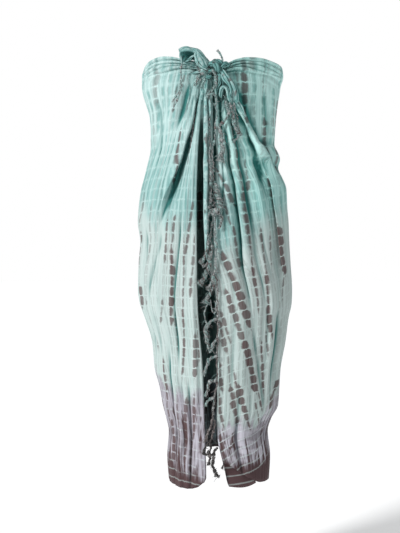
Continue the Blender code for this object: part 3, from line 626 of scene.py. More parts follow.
def add_roll(bm, places, widths, depths, pleats, around=36, along=44, twist=1.5, material=0):
    """One roll of pleated cloth along (x, distance ahead, drop) places, with half widths and half depths."""
    line = smooth_line(in_space(places), along + 1)
    _, side, out = frames_of(line)
    width, depth = read_evenly(widths, along + 1) * MM, read_evenly(depths, along + 1) * MM
    from_end = np.minimum(np.linspace(0, 1, along + 1), np.linspace(1, 0, along + 1))
    close = np.sqrt(np.clip(from_end * END_ROUNDING, 0.01, 1))
    crease = bm.verts.layers.float.get("crease") or bm.verts.layers.float.new("crease")
    made = bmesh.ops.create_grid(bm, x_segments=around, y_segments=along, size=0.5)["verts"]
    for face in {face for vertex in made for face in vertex.link_faces}:
        face.material_index = material
    for vertex in made:
        turn = (vertex.co.x + 0.5) * 2 * math.pi
        i = round((vertex.co.y + 0.5) * along)
        ridge = abs(math.sin(pleats * turn / 2 + twist * i / along * math.pi)) - PLEAT_LEVEL
        uneven = 1 + 0.10 * math.sin(3 * turn + 0.23 * i) + 0.06 * math.sin(0.55 * i + 2 * turn)
        # Painted shade: the grooves between the pleats are noted for darkening.
        vertex[crease] = float(np.clip(-ridge / 0.4 - 0.1, 0, 1.15))
        reach = close[i] * (1 + PLEAT_DEPTH * ridge) * uneven
        vertex.co = line[i] + reach * (width[i] * math.cos(turn) * side[i] + depth[i] * math.sin(turn) * out[i])
    bmesh.ops.remove_doubles(bm, verts=made, dist=1e-6)


def close_holes(bm):
    bmesh.ops.holes_fill(bm, edges=[edge for edge in bm.edges if edge.is_boundary], sides=0)


def piece_of(name, bm, mesh, node):
    """Writes a finished bmesh into a mesh, as a smooth piece that takes the place of the named solid."""
    for face in bm.faces:
        face.smooth = True
    bm.to_mesh(mesh)
    bm.free()
    made = put_in_scene(name, mesh)
    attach(made, "root")
    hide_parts(node)
    print(name, "has", len(mesh.polygons), "faces")
    return made


def piece_of_rolls(name, rolls, node, slot="cloth", bm=None, **fineness):
    """A piece of rolls, each a row: places, widths, depths, pleats and, where it isn't 0, the material's number."""
    bm = bm or bmesh.new()
    for places, widths, depths, pleats, *material in rolls:
        add_roll(bm, places, widths, depths, pleats, material=material[0] if material else 0, **fineness)
    close_holes(bm)
    bmesh.ops.recalc_face_normals(bm, faces=bm.faces)
    return piece_of(name, bm, bpy.data.meshes.new(name), node)


# %% [markdown]
# ## The knot
# The right-hand corner passes over the left-hand one and back through, so the knot is a round bundle with a broad
# band lying aslant over its front, another over its top, and a smaller turn below at the left. Each row is one band.

# %% The knot
KNOT_BANDS = (
    # (x, distance ahead, drop) places, half widths, half depths, pleats, 1 for lighter cloth beside it, 2 for the
    # inner band, darkened as painted shade
    (((-6, 132, 32), (0, 136, 28), (7, 138, 28), (14, 136, 29), (19, 131, 31)), (7, 12, 14, 12, 6), (5, 9, 10, 9, 5),
     7, 2),
    (((-15, 136, 27), (-8, 143, 20), (-1, 147, 20), (5, 148, 26), (9, 146, 34), (10, 139, 42)),
     (4, 5.5, 6.5, 6.5, 5.5, 3.5), (3, 4.5, 5, 5, 4.5, 3), 5),
    (((-7, 136, 26), (-4, 140, 18), (3, 143, 14), (11, 142, 15), (17, 139, 21), (18, 134, 30)), (4, 4.5, 5, 5, 5, 4),
     (4, 5, 5.5, 5.5, 5, 4), 5),
    (((13, 137, 34), (18, 141, 27), (22, 140, 21), (28, 135, 18), (37, 129, 20), (46, 126, 24)),
     (3, 4, 4.6, 4.4, 2.6, 1), (3, 3.6, 4, 3.6, 2.2, 1), 4),
    (((2, 141, 38), (-6, 140, 36), (-14, 138, 36), (-20, 137, 41), (-19, 138, 48), (-12, 139, 50), (-5, 137, 46)),
     (3, 4, 4.2, 3.6, 3.4, 3.6, 3), (3, 3.8, 4, 3.6, 3.4, 3.4, 3), 5),
    (((-9, 136, 35), (-17, 133, 34), (-27, 129, 33), (-38, 124, 35), (-52, 120, 38)), (4, 4.5, 4, 3, 1.2),
     (3, 3, 2.6, 2, 1), 4, 1),
    (((-10, 134, 40), (-20, 131, 44), (-32, 127, 46), (-46, 123, 49)), (4, 4.2, 3.2, 1.2), (3, 3, 2.4, 1), 4, 1),
    (((-6, 133, 26), (-18, 130, 27), (-30, 126, 26), (-44, 120, 24), (-60, 115, 22)), (4, 5, 4.4, 3, 1.2),
     (3, 3, 2.6, 2, 1), 4, 1),
    (((-22, 134, 48), (-25, 128, 66), (-28, 125, 90), (-32, 123, 112), (-38, 122, 136)), (3, 5, 6, 5, 1.5),
     (3, 3, 3, 2.5, 1), 3, 1),
    (((-18, 132, 50), (-18, 130, 72), (-19, 129, 98), (-20, 128, 122)), (3, 4.5, 4.5, 2), (3, 3.4, 3.4, 2), 3, 1),
    (((9, 140, 38), (14, 141, 50), (13, 140, 62), (9, 137, 74), (6, 134, 84)), (3, 3.6, 3.6, 3, 1.6),
     (2, 2.8, 2.8, 2.2, 1.4), 4),
    (((15, 137, 36), (21, 138, 50), (22, 136, 66), (20, 133, 84)), (3, 3.2, 3, 1.4), (2, 2.6, 2.4, 1.4), 4),
)
knot = piece_of_rolls("knot_bands", KNOT_BANDS, "knot", "knot")

# %% [markdown]
# ## The two tied corners
# The upper corner is a strip that stands up from the knot like an ear, puffed at its end and open below, so its
# inside shows, darkened with painted shade. Its shell is a grid bent round the strip's line, with a gap along the
# underside. The lower corner hangs at the right as folded ribbons, with hollows between the folds and a backing
# behind them in darkened cloth, as painted shade.

# %% The upper tied corner
UPPER_LINE = ((-14, 136, 24), (-26, 137, 13), (-44, 138, -3.5), (-61, 139, -4.5), (-76, 139, 1))
UPPER_HEIGHTS = (8.5, 12.0, 13.0, 16.5, 17.5)
UPPER_OPENINGS = (30, 36, 44, 52, 58)
UPPER_OPENS_TO = 134
UPPER_FLATNESS = 0.7
CORNER_THICKNESS = 0.0008
UPPER_FOLDS = (
    (((-14, 130, 24), (-26, 127, 22), (-40, 125, 17), (-54, 121, 14), (-68, 117, 13)), (5, 7, 7, 6, 2),
     (2, 2.4, 2.4, 2, 1), 6),
    (((-15, 146, 30), (-24, 149, 22), (-33, 150, 12), (-40, 149, 2), (-44, 146, -6)), (2, 6.5, 8, 6, 2),
     (1.2, 3, 3.4, 2.8, 1.2), 3),
    (((-13, 144, 22), (-23, 148, 12), (-33, 149, 1), (-45, 147, -10), (-58, 144, -15)), (2, 3, 3, 2.6, 1.2),
     (1.5, 2.5, 2.6, 2.2, 1), 3),
    (((-12, 141, 33), (-22, 145, 31), (-33, 146, 25), (-41, 146, 15), (-44, 144, 3)), (2, 3.4, 3.2, 2.6, 1.2),
     (1.5, 2.5, 2.4, 2, 1), 3),
    (((-64, 141, 15), (-57, 143, 9), (-49, 144, 3), (-42, 145, 0)), (1.6, 2.4, 2.6, 1.4), (1, 1.6, 1.6, 1), 2),
    (((-79, 139, -9), (-78.5, 141, 0), (-76, 140, 10), (-73, 137, 19)), (1.4, 2.2, 2.4, 1.4), (1, 1.6, 1.8, 1), 2),
)


def upper_shell(around=48, along=40):
    line = smooth_line(in_space(UPPER_LINE), along + 1)
    heights, openings = read_evenly(UPPER_HEIGHTS, along + 1) * MM, read_evenly(UPPER_OPENINGS, along + 1)
    _, up, _ = frames_of(line)
    bm = bmesh.new()
    crease = bm.verts.layers.float.new("crease")
    for vertex in bmesh.ops.create_grid(bm, x_segments=around, y_segments=along, size=0.5)["verts"]:
        i, share = round((vertex.co.y + 0.5) * along), vertex.co.x + 0.5
        turn = math.radians(UPPER_OPENS_TO + openings[i] + share * (360 - 2 * openings[i]))
        out = i / along
        pleat = math.cos(9 * turn + 0.10 * i)
        crumple = 1 + 0.10 * out * math.cos(4 * turn + 1.0) + 0.07 * pleat * (1 - 0.5 * out)
        crumple *= 1 + 0.05 * math.sin(0.42 * i + 2 * turn)
        # Painted shade: the pleats' grooves are noted for darkening, and more so the back of the shell, which shows
        # through the gap.
        behind = 0.5 - 0.5 * math.sin(turn)
        vertex[crease] = float(np.clip(-1.2 * pleat - 0.3, 0, 1)) * (1 - behind) + behind**2
        reach = heights[i] * crumple
        vertex.co = line[i] + reach * (up[i] * math.cos(turn) + UPPER_FLATNESS * FORWARD * math.sin(turn))
    bmesh.ops.solidify(bm, geom=bm.faces[:], thickness=CORNER_THICKNESS)
    return bm


upper_corner = piece_of_rolls(
    "corner_upper", UPPER_FOLDS, "tied_corner_upper", bm=upper_shell(), around=20, along=30)

# %% The lower tied corner
LOWER_FOLDS = (
    (((12, 138, 30), (23, 143, 42), (34, 146, 56), (44, 146, 71), (51, 144, 88), (54, 141, 104), (49, 139, 113)),
     (4, 5, 5, 5, 4.6, 4, 1.5), (3, 4, 4, 4, 3.4, 3, 1.5), 3),
    (((14, 137, 36), (23, 143, 55), (33, 147, 67), (39, 147, 83), (37, 146, 99), (42, 142, 113)),
     (3, 4, 3.6, 3.2, 3.2, 1.5), (3, 3.6, 3.2, 3, 3, 1.5), 3),
    (((36, 140, 62), (43, 141, 80), (49, 141, 98), (50, 139, 110)), (3, 6.5, 7, 2.5), (1.5, 2.4, 2.4, 1.5), 3),
    (((17, 142, 100), (15, 146, 92), (16, 150, 82), (21, 151, 76), (28, 151, 79), (32, 149, 90), (35, 147, 102),
     (38, 145, 112)), (2, 3.6, 4, 4, 3.8, 3.6, 3.2, 1.8), (1.8, 3, 3.2, 3.4, 3.2, 3, 2.8, 1.6), 3),
    (((42, 139, 104), (50, 137, 109), (59, 134, 116), (68, 131, 128), (76, 130, 142)), (2, 4.5, 5, 3.5, 1),
     (1.5, 2.8, 2.8, 2, 0.8), 4),
    # The last two rows are a backing behind the folds, in the darkened inner cloth, as painted shade in the hollows.
    (((12, 134, 42), (18, 135, 62), (19, 134, 84), (18, 133, 108)), (4, 8, 8, 3), (2, 3, 3, 2), 5, 1),
    (((22, 137, 48), (31, 138, 64), (38, 138, 82), (42, 136, 98)), (4, 9, 9, 4), (1.5, 2, 2, 1.5), 4, 1),
)
lower_corner = piece_of_rolls("corner_lower", LOWER_FOLDS, "tied_corner_lower")

# %% [markdown]
# ## The fringe
# Each short end of the cloth is finished with a fringe of twisted yarns, which are knotted and have tangled in use.
# The yarns are curves with a round bevel, turned into a mesh once they are made. A bundle is one row of a table: its
# line, how thick it is at the start, middle and end, how many yarns it has and where it is knotted. The yarns of a
# bundle are twisted round each other, and their loose ends spread. Bundles on the cloth are set out from its real
# surface.

# %% Yarn bundles
YARN_COLOURS = {
    "teal": ((0.085, 0.165, 0.158, 1), (0.390, 0.540, 0.520, 1)),
    "grey": ((0.090, 0.100, 0.100, 1), (0.500, 0.525, 0.520, 1)),
    "brown": ((0.060, 0.048, 0.047, 1), (0.250, 0.220, 0.214, 1)),
    "charcoal": ((0.012, 0.011, 0.011, 1), (0.105, 0.098, 0.095, 1)),
}
YARN_RADIUS = 0.00075
TWIST_LENGTH = 0.017
STEP = 0.0024
FULLNESS = 1.25
MORE_YARNS = 1.5
LIFT = 2.5
STRAY_YARNS = 3
SWAY = 0.0009
SWAY_LENGTHS = (0.016, 0.0065)
FUZZ_STEP = 5
FUZZ_RADII = (0.70, 0.60, 0.50, 0.30)
KNOT_POINTS = 34
KNOT_TURN = 6.6 * math.pi
KNOT_HALF_LENGTH = 0.0026
KNOT_YARN = 1.15
BESIDE_EDGE = 0.004
LOOKED_LOWER = (0.0, 0.004, 0.008, 0.014, 0.022, 0.032)
LOOKED_ASIDE = (-0.003, 0.0, 0.003)
WHERE_NO_CLOTH = -0.12
bpy.context.view_layer.update()
cloth_surface = BVHTree.FromObject(wrap, bpy.context.evaluated_depsgraph_get())


def front_of_cloth(x, drop):
    """How far forward the cloth lies at a place seen from the front. In the slit it is the right edge's place."""
    x = max(x, float(read(EDGES, "right", drop)) + BESIDE_EDGE)
    for lower in LOOKED_LOWER:
        starts = [Vector((x + aside, -1.0, -drop - lower)) for aside in LOOKED_ASIDE]
        found = [cloth_surface.ray_cast(start, Vector((0, 1, 0)))[0] for start in starts]
        ahead = [place.y for place in found if place is not None and place.y < 0]
        if ahead:
            return min(ahead)
    return WHERE_NO_CLOTH


def on_cloth(places):
    """Places given as x, height off the cloth and drop, in millimetres, as points in space."""
    return [(x, front_of_cloth(x * MM, drop * MM) / MM - out - LIFT, -drop) for x, out, drop in places]


def add_yarn(curve, points, radii, chance, tints):
    """One yarn through the points, in one of the shades that the tints give the chances of."""
    spline = curve.splines.new("POLY")
    spline.points.add(len(points) - 1)
    spline.points.foreach_set("co", np.column_stack([points, np.ones(len(points))]).ravel())
    spline.points.foreach_set("radius", radii)
    spline.material_index = int(chance.choice(len(tints), p=tints))


def add_yarns(curve, line, thickness, count, chance, tints, fuzz):
    """A bundle of yarns twisted round a line. Thickness is the bundle's half width at the start, middle and end."""
    _, side, out = frames_of(line)
    share = np.linspace(0, 1, len(line))
    length = float(np.linalg.norm(np.diff(line, axis=0), axis=1).sum())
    reach = curve_through((0.0, 0.5, 1.0), np.array(thickness) * MM * FULLNESS, share) - YARN_RADIUS
    count = round(MORE_YARNS * count)
    sway = chance.uniform(0, 2 * math.pi, 2)
    long_wave, short_wave = (
        np.sin(length / wave_length * share * math.pi + start) for wave_length, start in zip(SWAY_LENGTHS, sway)
    )
    line = line + (SWAY if fuzz else 0.3 * SWAY) * np.outer(long_wave + 0.6 * short_wave, (1.0, 0.3, 0.0))
    if fuzz:
        add_fuzz(curve, line, reach, chance, tints)
    for k in range(count + STRAY_YARNS * fuzz):
        stray = k >= count
        wander = chance.uniform(0, 2 * math.pi, 3)
        turn = 2 * math.pi * (k / count + share * length / TWIST_LENGTH) * (0.4 if stray else 1)
        turn += (2.5 if stray else 0.8) * np.sin(9 * share + wander[0])
        away = np.maximum(reach, 0.0002) * (0.75 + 0.35 * np.sin(14 * share + wander[1])) * (1.8 if stray else 1)
        away = away * (1 + (0.9 if fuzz else 0.3) * rise(0.78, 1.0, share))
        points = line + away[:, None] * (np.cos(turn)[:, None] * side + np.sin(turn)[:, None] * out)
        radii = 1 + 0.22 * np.sin(21 * share + wander[2]) - 0.45 * rise(0.86, 1.0, share)
        add_yarn(curve, points, radii * (0.45 if stray else 1), chance, tints)


def add_fuzz(curve, line, reach, chance, tints):
    """Short frayed fibres that stand out from a bundle and curl down."""
    for i in range(1, len(line) - 1, FUZZ_STEP):
        turn, length = chance.uniform(0, 2 * math.pi), chance.uniform(0.005, 0.013)
        out = np.array((math.cos(turn), -0.4 * abs(math.sin(turn)), 0.7 * math.sin(turn)))
        bend = chance.uniform(-0.4, 0.4)
        at = np.linspace(0, 1, len(FUZZ_RADII))
        points = line[i] + reach[i] * out + length * (np.outer(at, out) + np.outer(at**2, (bend, 0.0, -0.5)))
        add_yarn(curve, points, FUZZ_RADII, chance, tints)


def add_knot(curve, line, at, reach, chance, tints):
    """A yarn wound three times round a bundle, as its knot."""
    middle = round(at * (len(line) - 1))
    along, side, out = (vectors[middle] for vectors in frames_of(line))
    turn = np.linspace(0, KNOT_TURN, KNOT_POINTS)
    slide = np.linspace(-1, 1, KNOT_POINTS) * KNOT_HALF_LENGTH
    swell = (reach * MM * FULLNESS + YARN_RADIUS * 0.7) * np.sqrt(1 - 0.35 * (slide / KNOT_HALF_LENGTH) ** 2)
    round_it = np.outer(swell * np.cos(turn), side) + np.outer(swell * np.sin(turn), out)
    add_yarn(curve, line[middle] + np.outer(slide, along) + round_it, np.full(KNOT_POINTS, KNOT_YARN), chance, tints)


def yarn_piece(name, node, bundles, tints, seed, strips=(), fuzz=False):
    """A piece of several bundles, each a row: points, thickness at three places, yarns and shares of its knots."""
    chance = np.random.default_rng(seed)
    curve = bpy.data.curves.new(name, "CURVE")
    curve.dimensions = "3D"
    curve.bevel_depth = YARN_RADIUS
    curve.bevel_resolution = 0
    curve.use_fill_caps = True
    for tint in YARN_COLOURS:
        curve.materials.append(bpy.data.materials.new(f"{name}_{tint}"))
    for places, thickness, count, knots in bundles:
        places = np.array(places, float)
        length = np.linalg.norm(np.diff(places, axis=0), axis=1).sum() * MM
        line = smooth_line(places, max(8, round(length / STEP)))
        shares = tints(-line[len(line) // 2, 2])
        add_yarns(curve, line, thickness, count, chance, shares, fuzz)
        for at in knots:
            add_knot(curve, line, at, float(np.interp(at, (0, 0.5, 1), thickness)), chance, shares)
    lines = put_in_scene(f"{name}_lines", curve)
    bpy.context.view_layer.update()
    mesh = bpy.data.meshes.new_from_object(lines.evaluated_get(bpy.context.evaluated_depsgraph_get()))
    bpy.data.objects.remove(lines)
    bm = bmesh.new()
    bm.from_mesh(mesh)
    for strip in strips:
        add_roll(bm, *strip, along=90, around=24, twist=0, material=len(YARN_COLOURS))
    close_holes(bm)
    return piece_of(name, bm, mesh, node)


def yarn_tints(drop):
    """How many of the yarns are teal, grey, brown and charcoal. The dye reached them as it did the cloth beside."""
    dark = float(rise(0.78, 0.90, drop))
    darkest = 0.8 * float(rise(0.84, 0.93, drop))
    grey = float(rise(0.05, 0.30, drop))
    teal = 0.60 - 0.28 * grey
    brown = 0.06 + 0.18 * float(rise(0.20, 0.60, drop))
    light = np.array((teal * (1 - dark), (1 - teal - brown) * (1 - dark), brown + (1 - brown) * dark))
    return (*(light * (1 - darkest)), darkest)


def pale_tints(drop):
    """The corners' own yarns are teal and grey at any drop."""
    return (0.65, 0.35, 0.0, 0.0)


def set_out(rows, where=on_cloth):
    """Rows of a table with their places as points in space."""
    return [(where(places), *rest) for places, *rest in rows]


# %% [markdown]
# ## The fringe on the right-hand end
# It starts as a rope at the knot, runs through a ring knot, and falls down the slit as a tangle of two braids. A
# knotted cluster lies at about a third of the way down. Below it the tassels are separate and swing out over the
# slit.

# %% The right-hand fringe
RIGHT_BUNDLES = (
    # places as (x, height off the cloth, drop) in millimetres, half width at three places, yarns, knots
    (((-4, 19, 34), (4, 15, 50), (5, 13, 64), (-2, 11, 78), (-13, 9, 89), (-18, 8, 97)), (2.6, 3.2, 2.6), 8, ()),
    (((-18, 8, 98), (-12, 12, 91), (-4, 13, 90), (4, 12, 94), (7, 11, 103), (4, 9, 112), (-1, 7, 114)), (2, 2.3, 1.8),
     6, (0.06,)),
    (((-11, 5, 146), (-11, 5, 170), (-10, 4, 195), (-9, 5, 220)), (1.1, 1.3, 1.6), 3, (0.02, 0.3, 0.6)),
    (((3, 7, 112), (7, 5, 132), (5, 5, 150), (3, 5, 168), (3, 5, 186), (0, 5, 203), (-4, 5, 220)), (1.2, 1.4, 1.6), 3,
     (0.2, 0.5, 0.8)),
    (((-9, 5, 212), (-10, 6, 240), (-9, 6, 262), (-8, 6, 290), (-7, 6, 312), (-9, 6, 335), (-7, 6, 352)),
     (1.8, 3.2, 2.4), 6, (0.2, 0.55)),
    (((-5, 5, 218), (-3, 5, 240), (-2, 5, 265), (-2, 5, 290), (0, 5, 312), (-1, 5, 335), (0, 6, 352)), (1.8, 2.2, 2),
     3, (0.35, 0.6)),
    (((1, 5, 292), (5, 7, 306), (9, 8, 322), (13, 8, 336), (14, 7, 349)), (1.8, 6, 5.5), 9, (0.06,)),
    (((-13, 6, 350), (-6, 10, 361), (3, 10, 363), (11, 9, 358), (17, 7, 350)), (3.6, 6.2, 3.4), 10, (0.3, 0.55, 0.8)),
    (((-12, 6, 359), (-2, 9, 368), (8, 8, 367), (16, 6, 360)), (3, 4.4, 3), 7, (0.4,)),
    (((-12, 6, 362), (-15, 5, 383), (-16, 5, 403), (-13, 5, 420), (-9, 5, 424)), (1.3, 1.6, 1.4), 3, (0.96,)),
    (((-2, 7, 367), (-3, 6, 386), (-6, 5, 404), (-8, 5, 420), (-7, 5, 436), (-2, 5, 450)), (1.6, 2.4, 2), 4,
     (0.3, 0.9)),
    (((0, 6, 370), (3, 5, 394), (2, 5, 418), (5, 5, 436), (6, 5, 453), (5, 5, 470), (4, 5, 492), (5, 4, 512)),
     (1.6, 2.4, 2), 4, (0.5, 0.75)),
    (((14, 5, 360), (17, 4, 378), (16, 4, 393), (11, 4, 403)), (1.8, 3.2, 1.4), 5, (0.1,)),
    (((-12, 5, 424), (-14, 5, 440), (-17, 5, 456), (-22, 4, 470), (-33, 3, 484)), (1.8, 2.6, 4.4), 6, (0.15,)),
    (((-8, 5, 436), (-9, 5, 456), (-12, 5, 474), (-20, 4, 490), (-27, 3, 488)), (1.8, 2.6, 3.2), 5, (0.2,)),
    (((-5, 5, 450), (-7, 5, 472), (-12, 5, 490), (-18, 4, 508), (-27, 3, 524), (-34, 2, 534)), (2, 4.2, 5), 8,
     (0.1, 0.3)),
    (((4, 5, 470), (3, 5, 496), (-3, 5, 520), (-8, 5, 534), (-14, 4, 548)), (2, 3, 3.4), 6, (0.45,)),
    (((3, 5, 520), (-4, 4, 545), (-13, 4, 560), (-19, 3, 578)), (1.8, 3.4, 5.6), 8, (0.2,)),
    (((5, 4, 512), (8, 3, 545), (8, 3, 580), (9, 3, 616), (9, 3, 660), (7, 3, 704), (8, 3, 752), (1, 3, 800),
     (-3, 3, 850)), (1.4, 1.7, 1.5), 3, (0.12, 0.34, 0.5, 0.62, 0.78, 0.93)),
    (((-9, 4, 575), (-18, 4, 583), (-22, 3, 600), (-18, 3, 622), (-11, 4, 628)), (1.3, 1.6, 1.4), 3, ()),
    (((-9, 4, 568), (-5, 3, 588), (0, 3, 600), (5, 4, 590), (5, 4, 575), (-1, 4, 572)), (1.2, 1.4, 1.2), 3, ()),
    (((9, 4, 612), (-4, 5, 617), (-13, 4, 626), (-18, 3, 640), (-16, 3, 660), (-12, 2, 678), (-7, 2, 692)),
     (2, 3.6, 2.4), 7, (0.08,)),
    (((-16, 3, 622), (-22, 3, 640), (-20, 2, 658), (-14, 2, 670)), (1.3, 2, 2.4), 4, ()),
    (((9, 4, 660), (1, 5, 667), (-5, 4, 678), (-7, 3, 690)), (1.8, 3.4, 2.2), 6, (0.08,)),
    (((8, 4, 700), (0, 5, 702), (-10, 4, 708), (-18, 3, 724), (-23, 3, 748)), (1.8, 3.2, 2), 6, (0.1,)),
    (((8, 4, 748), (2, 5, 758), (-7, 5, 757), (-12, 4, 766), (-16, 3, 780), (-19, 2, 796)), (1.8, 3, 2), 6,
     (0.15, 0.5)),
    (((1, 4, 798), (-8, 4, 800), (-15, 3, 806), (-19, 3, 818)), (1.8, 2.6, 2), 5, (0.2,)),
    (((-3, 4, 846), (-8, 4, 866), (-16, 3, 886), (-22, 2, 905)), (1.6, 2.4, 2), 5, (0.1,)),
    (((2, 4, 850), (0, 3, 872), (-7, 3, 894), (-11, 3, 908)), (1.6, 2.2, 1.8), 4, (0.4,)),
    (((-11, 3, 905), (-21, 3, 914), (-24, 3, 928), (-17, 3, 933), (-13, 3, 922)), (1.8, 2.6, 1.8), 5, (0.5,)),
    (((-9, 3, 898), (-8, 3, 920), (-10, 3, 940), (-12, 3, 958)), (2, 2.8, 2.2), 6, (0.15, 0.55, 0.9)),
    (((8, 3, 915), (2, 4, 925), (-2, 4, 940), (-2, 4, 955), (2, 3, 972), (7, 3, 986)), (2, 3.4, 2.8), 8, (0.3, 0.8)),
    (((5, 3, 978), (9, 3, 984), (14, 3, 987)), (1.6, 2.2, 3), 5, ()),
    (((27, 2, 944), (22, 2, 958), (17, 2, 966)), (1.3, 1.6, 2.4), 4, ()),
)
HEADINGS = (
    # places in the same way, half widths, half depths, pleats
    (((-19, 5, 92), (-19.5, 5, 125), (-19, 5, 165), (-19.5, 4, 210), (-19, 4, 260), (-19.5, 4, 320), (-18.5, 4, 390),
     (-18, 4, 450)), (3, 5.2, 5.4, 5, 5.4, 5, 4.5, 1.5), (2, 3.4, 3.6, 3.4, 3.6, 3.4, 3, 1), 2),
    (((-10.5, 4, 95), (-9.5, 4, 112), (-9, 3, 130), (-9, 2, 160)), (2.4, 3.2, 3, 1.2), (2, 2.8, 2.6, 1), 2),
)
headings = [(in_space(places), *rest) for places, *rest in set_out(HEADINGS)]
right_fringe = yarn_piece(
    "fringe_tangle", "fringe_right", set_out(RIGHT_BUNDLES), yarn_tints, SEED, headings, fuzz=True)

# %% [markdown]
# ## The fringe on the left-hand end
# This end is turned in and hangs behind the left front, so its tassels are seen only through the slit. They are
# plain: each leaves the cloth's end, steps aside and falls, knotted near the top.

# %% The left-hand fringe
LEFT_TASSELS = 34
LEFT_TASSEL_LENGTH = 66


def left_bundles():
    chance = np.random.default_rng(SEED + 1)
    drops = np.linspace(0.122, 0.952, 24)
    ends = panel_point("left", np.full_like(drops, -1.0), drops)
    before = panel_point("left", np.full_like(drops, -0.9), drops)
    outward = (ends - before) / np.linalg.norm(ends - before, axis=1)[:, None]
    heading = (ends + 0.004 * outward) / MM
    yield [tuple(place) for place in heading], (1.6, 1.8, 1.6), 4, ()
    for drop in np.linspace(0.128, 0.945, LEFT_TASSELS):
        x, y, z = (float(np.interp(drop, drops, heading[:, k])) for k in range(3))
        aside, inward = chance.uniform(-3, 5), chance.uniform(2, 12)
        length = LEFT_TASSEL_LENGTH * chance.uniform(0.75, 1.1)
        places = [
            (x, y, z),
            (x + 0.6 * aside, y + 0.5 * inward, z - 6),
            (x + aside, y + inward, z - 0.35 * length),
            (x + aside + chance.uniform(-3, 3), y + inward, z - 0.7 * length),
            (x + aside + chance.uniform(-4, 4), y + inward, z - length),
        ]
        yield places, (1.4, 1.8, 3.2), 5, (0.22,)


left_fringe = yarn_piece("fringe_inner", "fringe_left", left_bundles(), yarn_tints, SEED + 2)

# %% [markdown]
# ## The corners' own tassels and the loose end
# The fringe runs to the cloth's corners, so each tied corner ends in a few knotted cords. One short cord stands up
# from the knot.

# %% Tassels and the loose end
UPPER_TASSEL = (
    (((-73, 9, 14), (-77, 7, 28), (-77, 5, 42), (-75, 4, 58), (-77, 4, 76), (-81, 3, 92), (-89, 3, 108),
     (-96, 3, 127)), (1.5, 1.7, 1.9), 3, (0.12, 0.42, 0.6, 0.82)),
    (((-76, 6, 50), (-78, 4, 66), (-80, 4, 80), (-90, 3, 96), (-98, 3, 107)), (1.2, 1.4, 1.8), 3, (0.3, 0.7)),
)
KNOT_TASSEL = (
    (((-20, 6, 44), (-28, 7, 41), (-35, 6, 46), (-39, 4, 58), (-45, 3, 70)), (1.6, 3, 3.6), 7, (0.15,)),
    (((-20, 5, 47), (-26, 5, 53), (-33, 4, 56), (-38, 3, 66)), (1.4, 2.4, 2.8), 5, (0.2,)),
    (((-19, 5, 48), (-23, 5, 58), (-28, 4, 68), (-30, 3, 75)), (1.2, 1.8, 2.2), 4, (0.3,)),
)
LOWER_TASSEL = (
    (((37, 10, 108), (42, 9, 126), (46, 8, 146), (51, 6, 166), (59, 4, 177), (63, 3, 182)), (2.4, 4.2, 2.6), 7,
     (0.1, 0.45, 0.8)),
    (((46, 8, 112), (53, 7, 134), (56, 5, 154), (59, 4, 172), (63, 3, 184)), (1.6, 2, 2.4), 4, (0.5,)),
    (((61, 4, 176), (54, 4, 190), (44, 4, 200)), (1.4, 1.8, 2.6), 4, ()),
    (((37, 9, 116), (34, 8, 136), (25, 6, 150), (15, 5, 161), (7, 4, 170)), (1.8, 2.6, 3), 5, (0.25, 0.6)),
    (((13, 5, 164), (17, 6, 188), (20, 7, 210), (18, 7, 230), (13, 5, 247)), (2, 4.6, 5.6), 9, (0.12, 0.35)),
    (((24, 8, 92), (28, 9, 110), (33, 9, 126), (35, 8, 138)), (1.6, 2.8, 1.8), 5, (0.4,)),
)
LOOSE_END = (
    # places as (x, distance ahead, drop)
    (((21, 138, 20), (19, 138, 8), (14.5, 137, -4), (7.5, 137, -13.5)), (2.3, 2.3, 2.6), 8, ()),
)
upper_tassel = yarn_piece("cords_upper", "tassel_upper", set_out(UPPER_TASSEL), pale_tints, SEED + 3)
knot_tassel = yarn_piece("cords_knot", "tassel_knot", set_out(KNOT_TASSEL), yarn_tints, SEED + 4)
lower_tassel = yarn_piece("cords_lower", "tassel_lower", set_out(LOWER_TASSEL), yarn_tints, SEED + 5, fuzz=True)
loose_end = yarn_piece("cord_loose", "loose_end", set_out(LOOSE_END, in_space), pale_tints, SEED + 6)

# %% [markdown]
# ## Shader helpers
# The dye is worked out from the cloth's own notes, so it stays on the cloth in every view. A value stands for the
# output of a node. Sums and products of values make the maths nodes for them, so the dyer's rules read as plain sums.


# %% Shader helpers
class Value:
    """The output of a node, as a number, vector or colour to go on from."""

    def __init__(self, socket):
        self.socket = socket

    def __add__(self, other):
        return maths("ADD", self, other)

    def __sub__(self, other):
        return maths("SUBTRACT", self, other)

    def __rsub__(self, other):
        return maths("SUBTRACT", other, self)

    def __mul__(self, other):
        return maths("MULTIPLY", self, other)

    def __truediv__(self, other):
        return maths("DIVIDE", self, other)

    def __rtruediv__(self, other):
        return maths("DIVIDE", other, self)

    def at_least(self, other):
        return maths("MAXIMUM", self, other)


def plug(socket, value):
    """Joins a value to an input, or writes a plain number or colour there."""
    if isinstance(value, Value):
        socket.id_data.links.new(value.socket, socket)
    else:
        socket.default_value = value


def node(tree, kind, *values, **settings):
    """A new node with its settings and its first inputs."""
    made = tree.nodes.new(kind)
    for name, setting in settings.items():
        setattr(made, name, setting)
    for socket, value in zip(made.inputs, values):
        plug(socket, value)
    return made


def plug_named(made, **values):
    """Fills inputs by name, with an underscore for each space, and hands the node back."""
    for name, value in values.items():
        plug(made.inputs[name.replace("_", " ")], value)
    return made


def tree_of(*values):
    """The node tree that the first value among some values and plain numbers lies in."""
    return next(value.socket.id_data for value in values if isinstance(value, Value))


def maths(operation, *values, kind="ShaderNodeMath"):
    return Value(node(tree_of(*values), kind, *values, operation=operation).outputs[0])


def vector_maths(operation, *values):
    return maths(operation, *values, kind="ShaderNodeVectorMath")


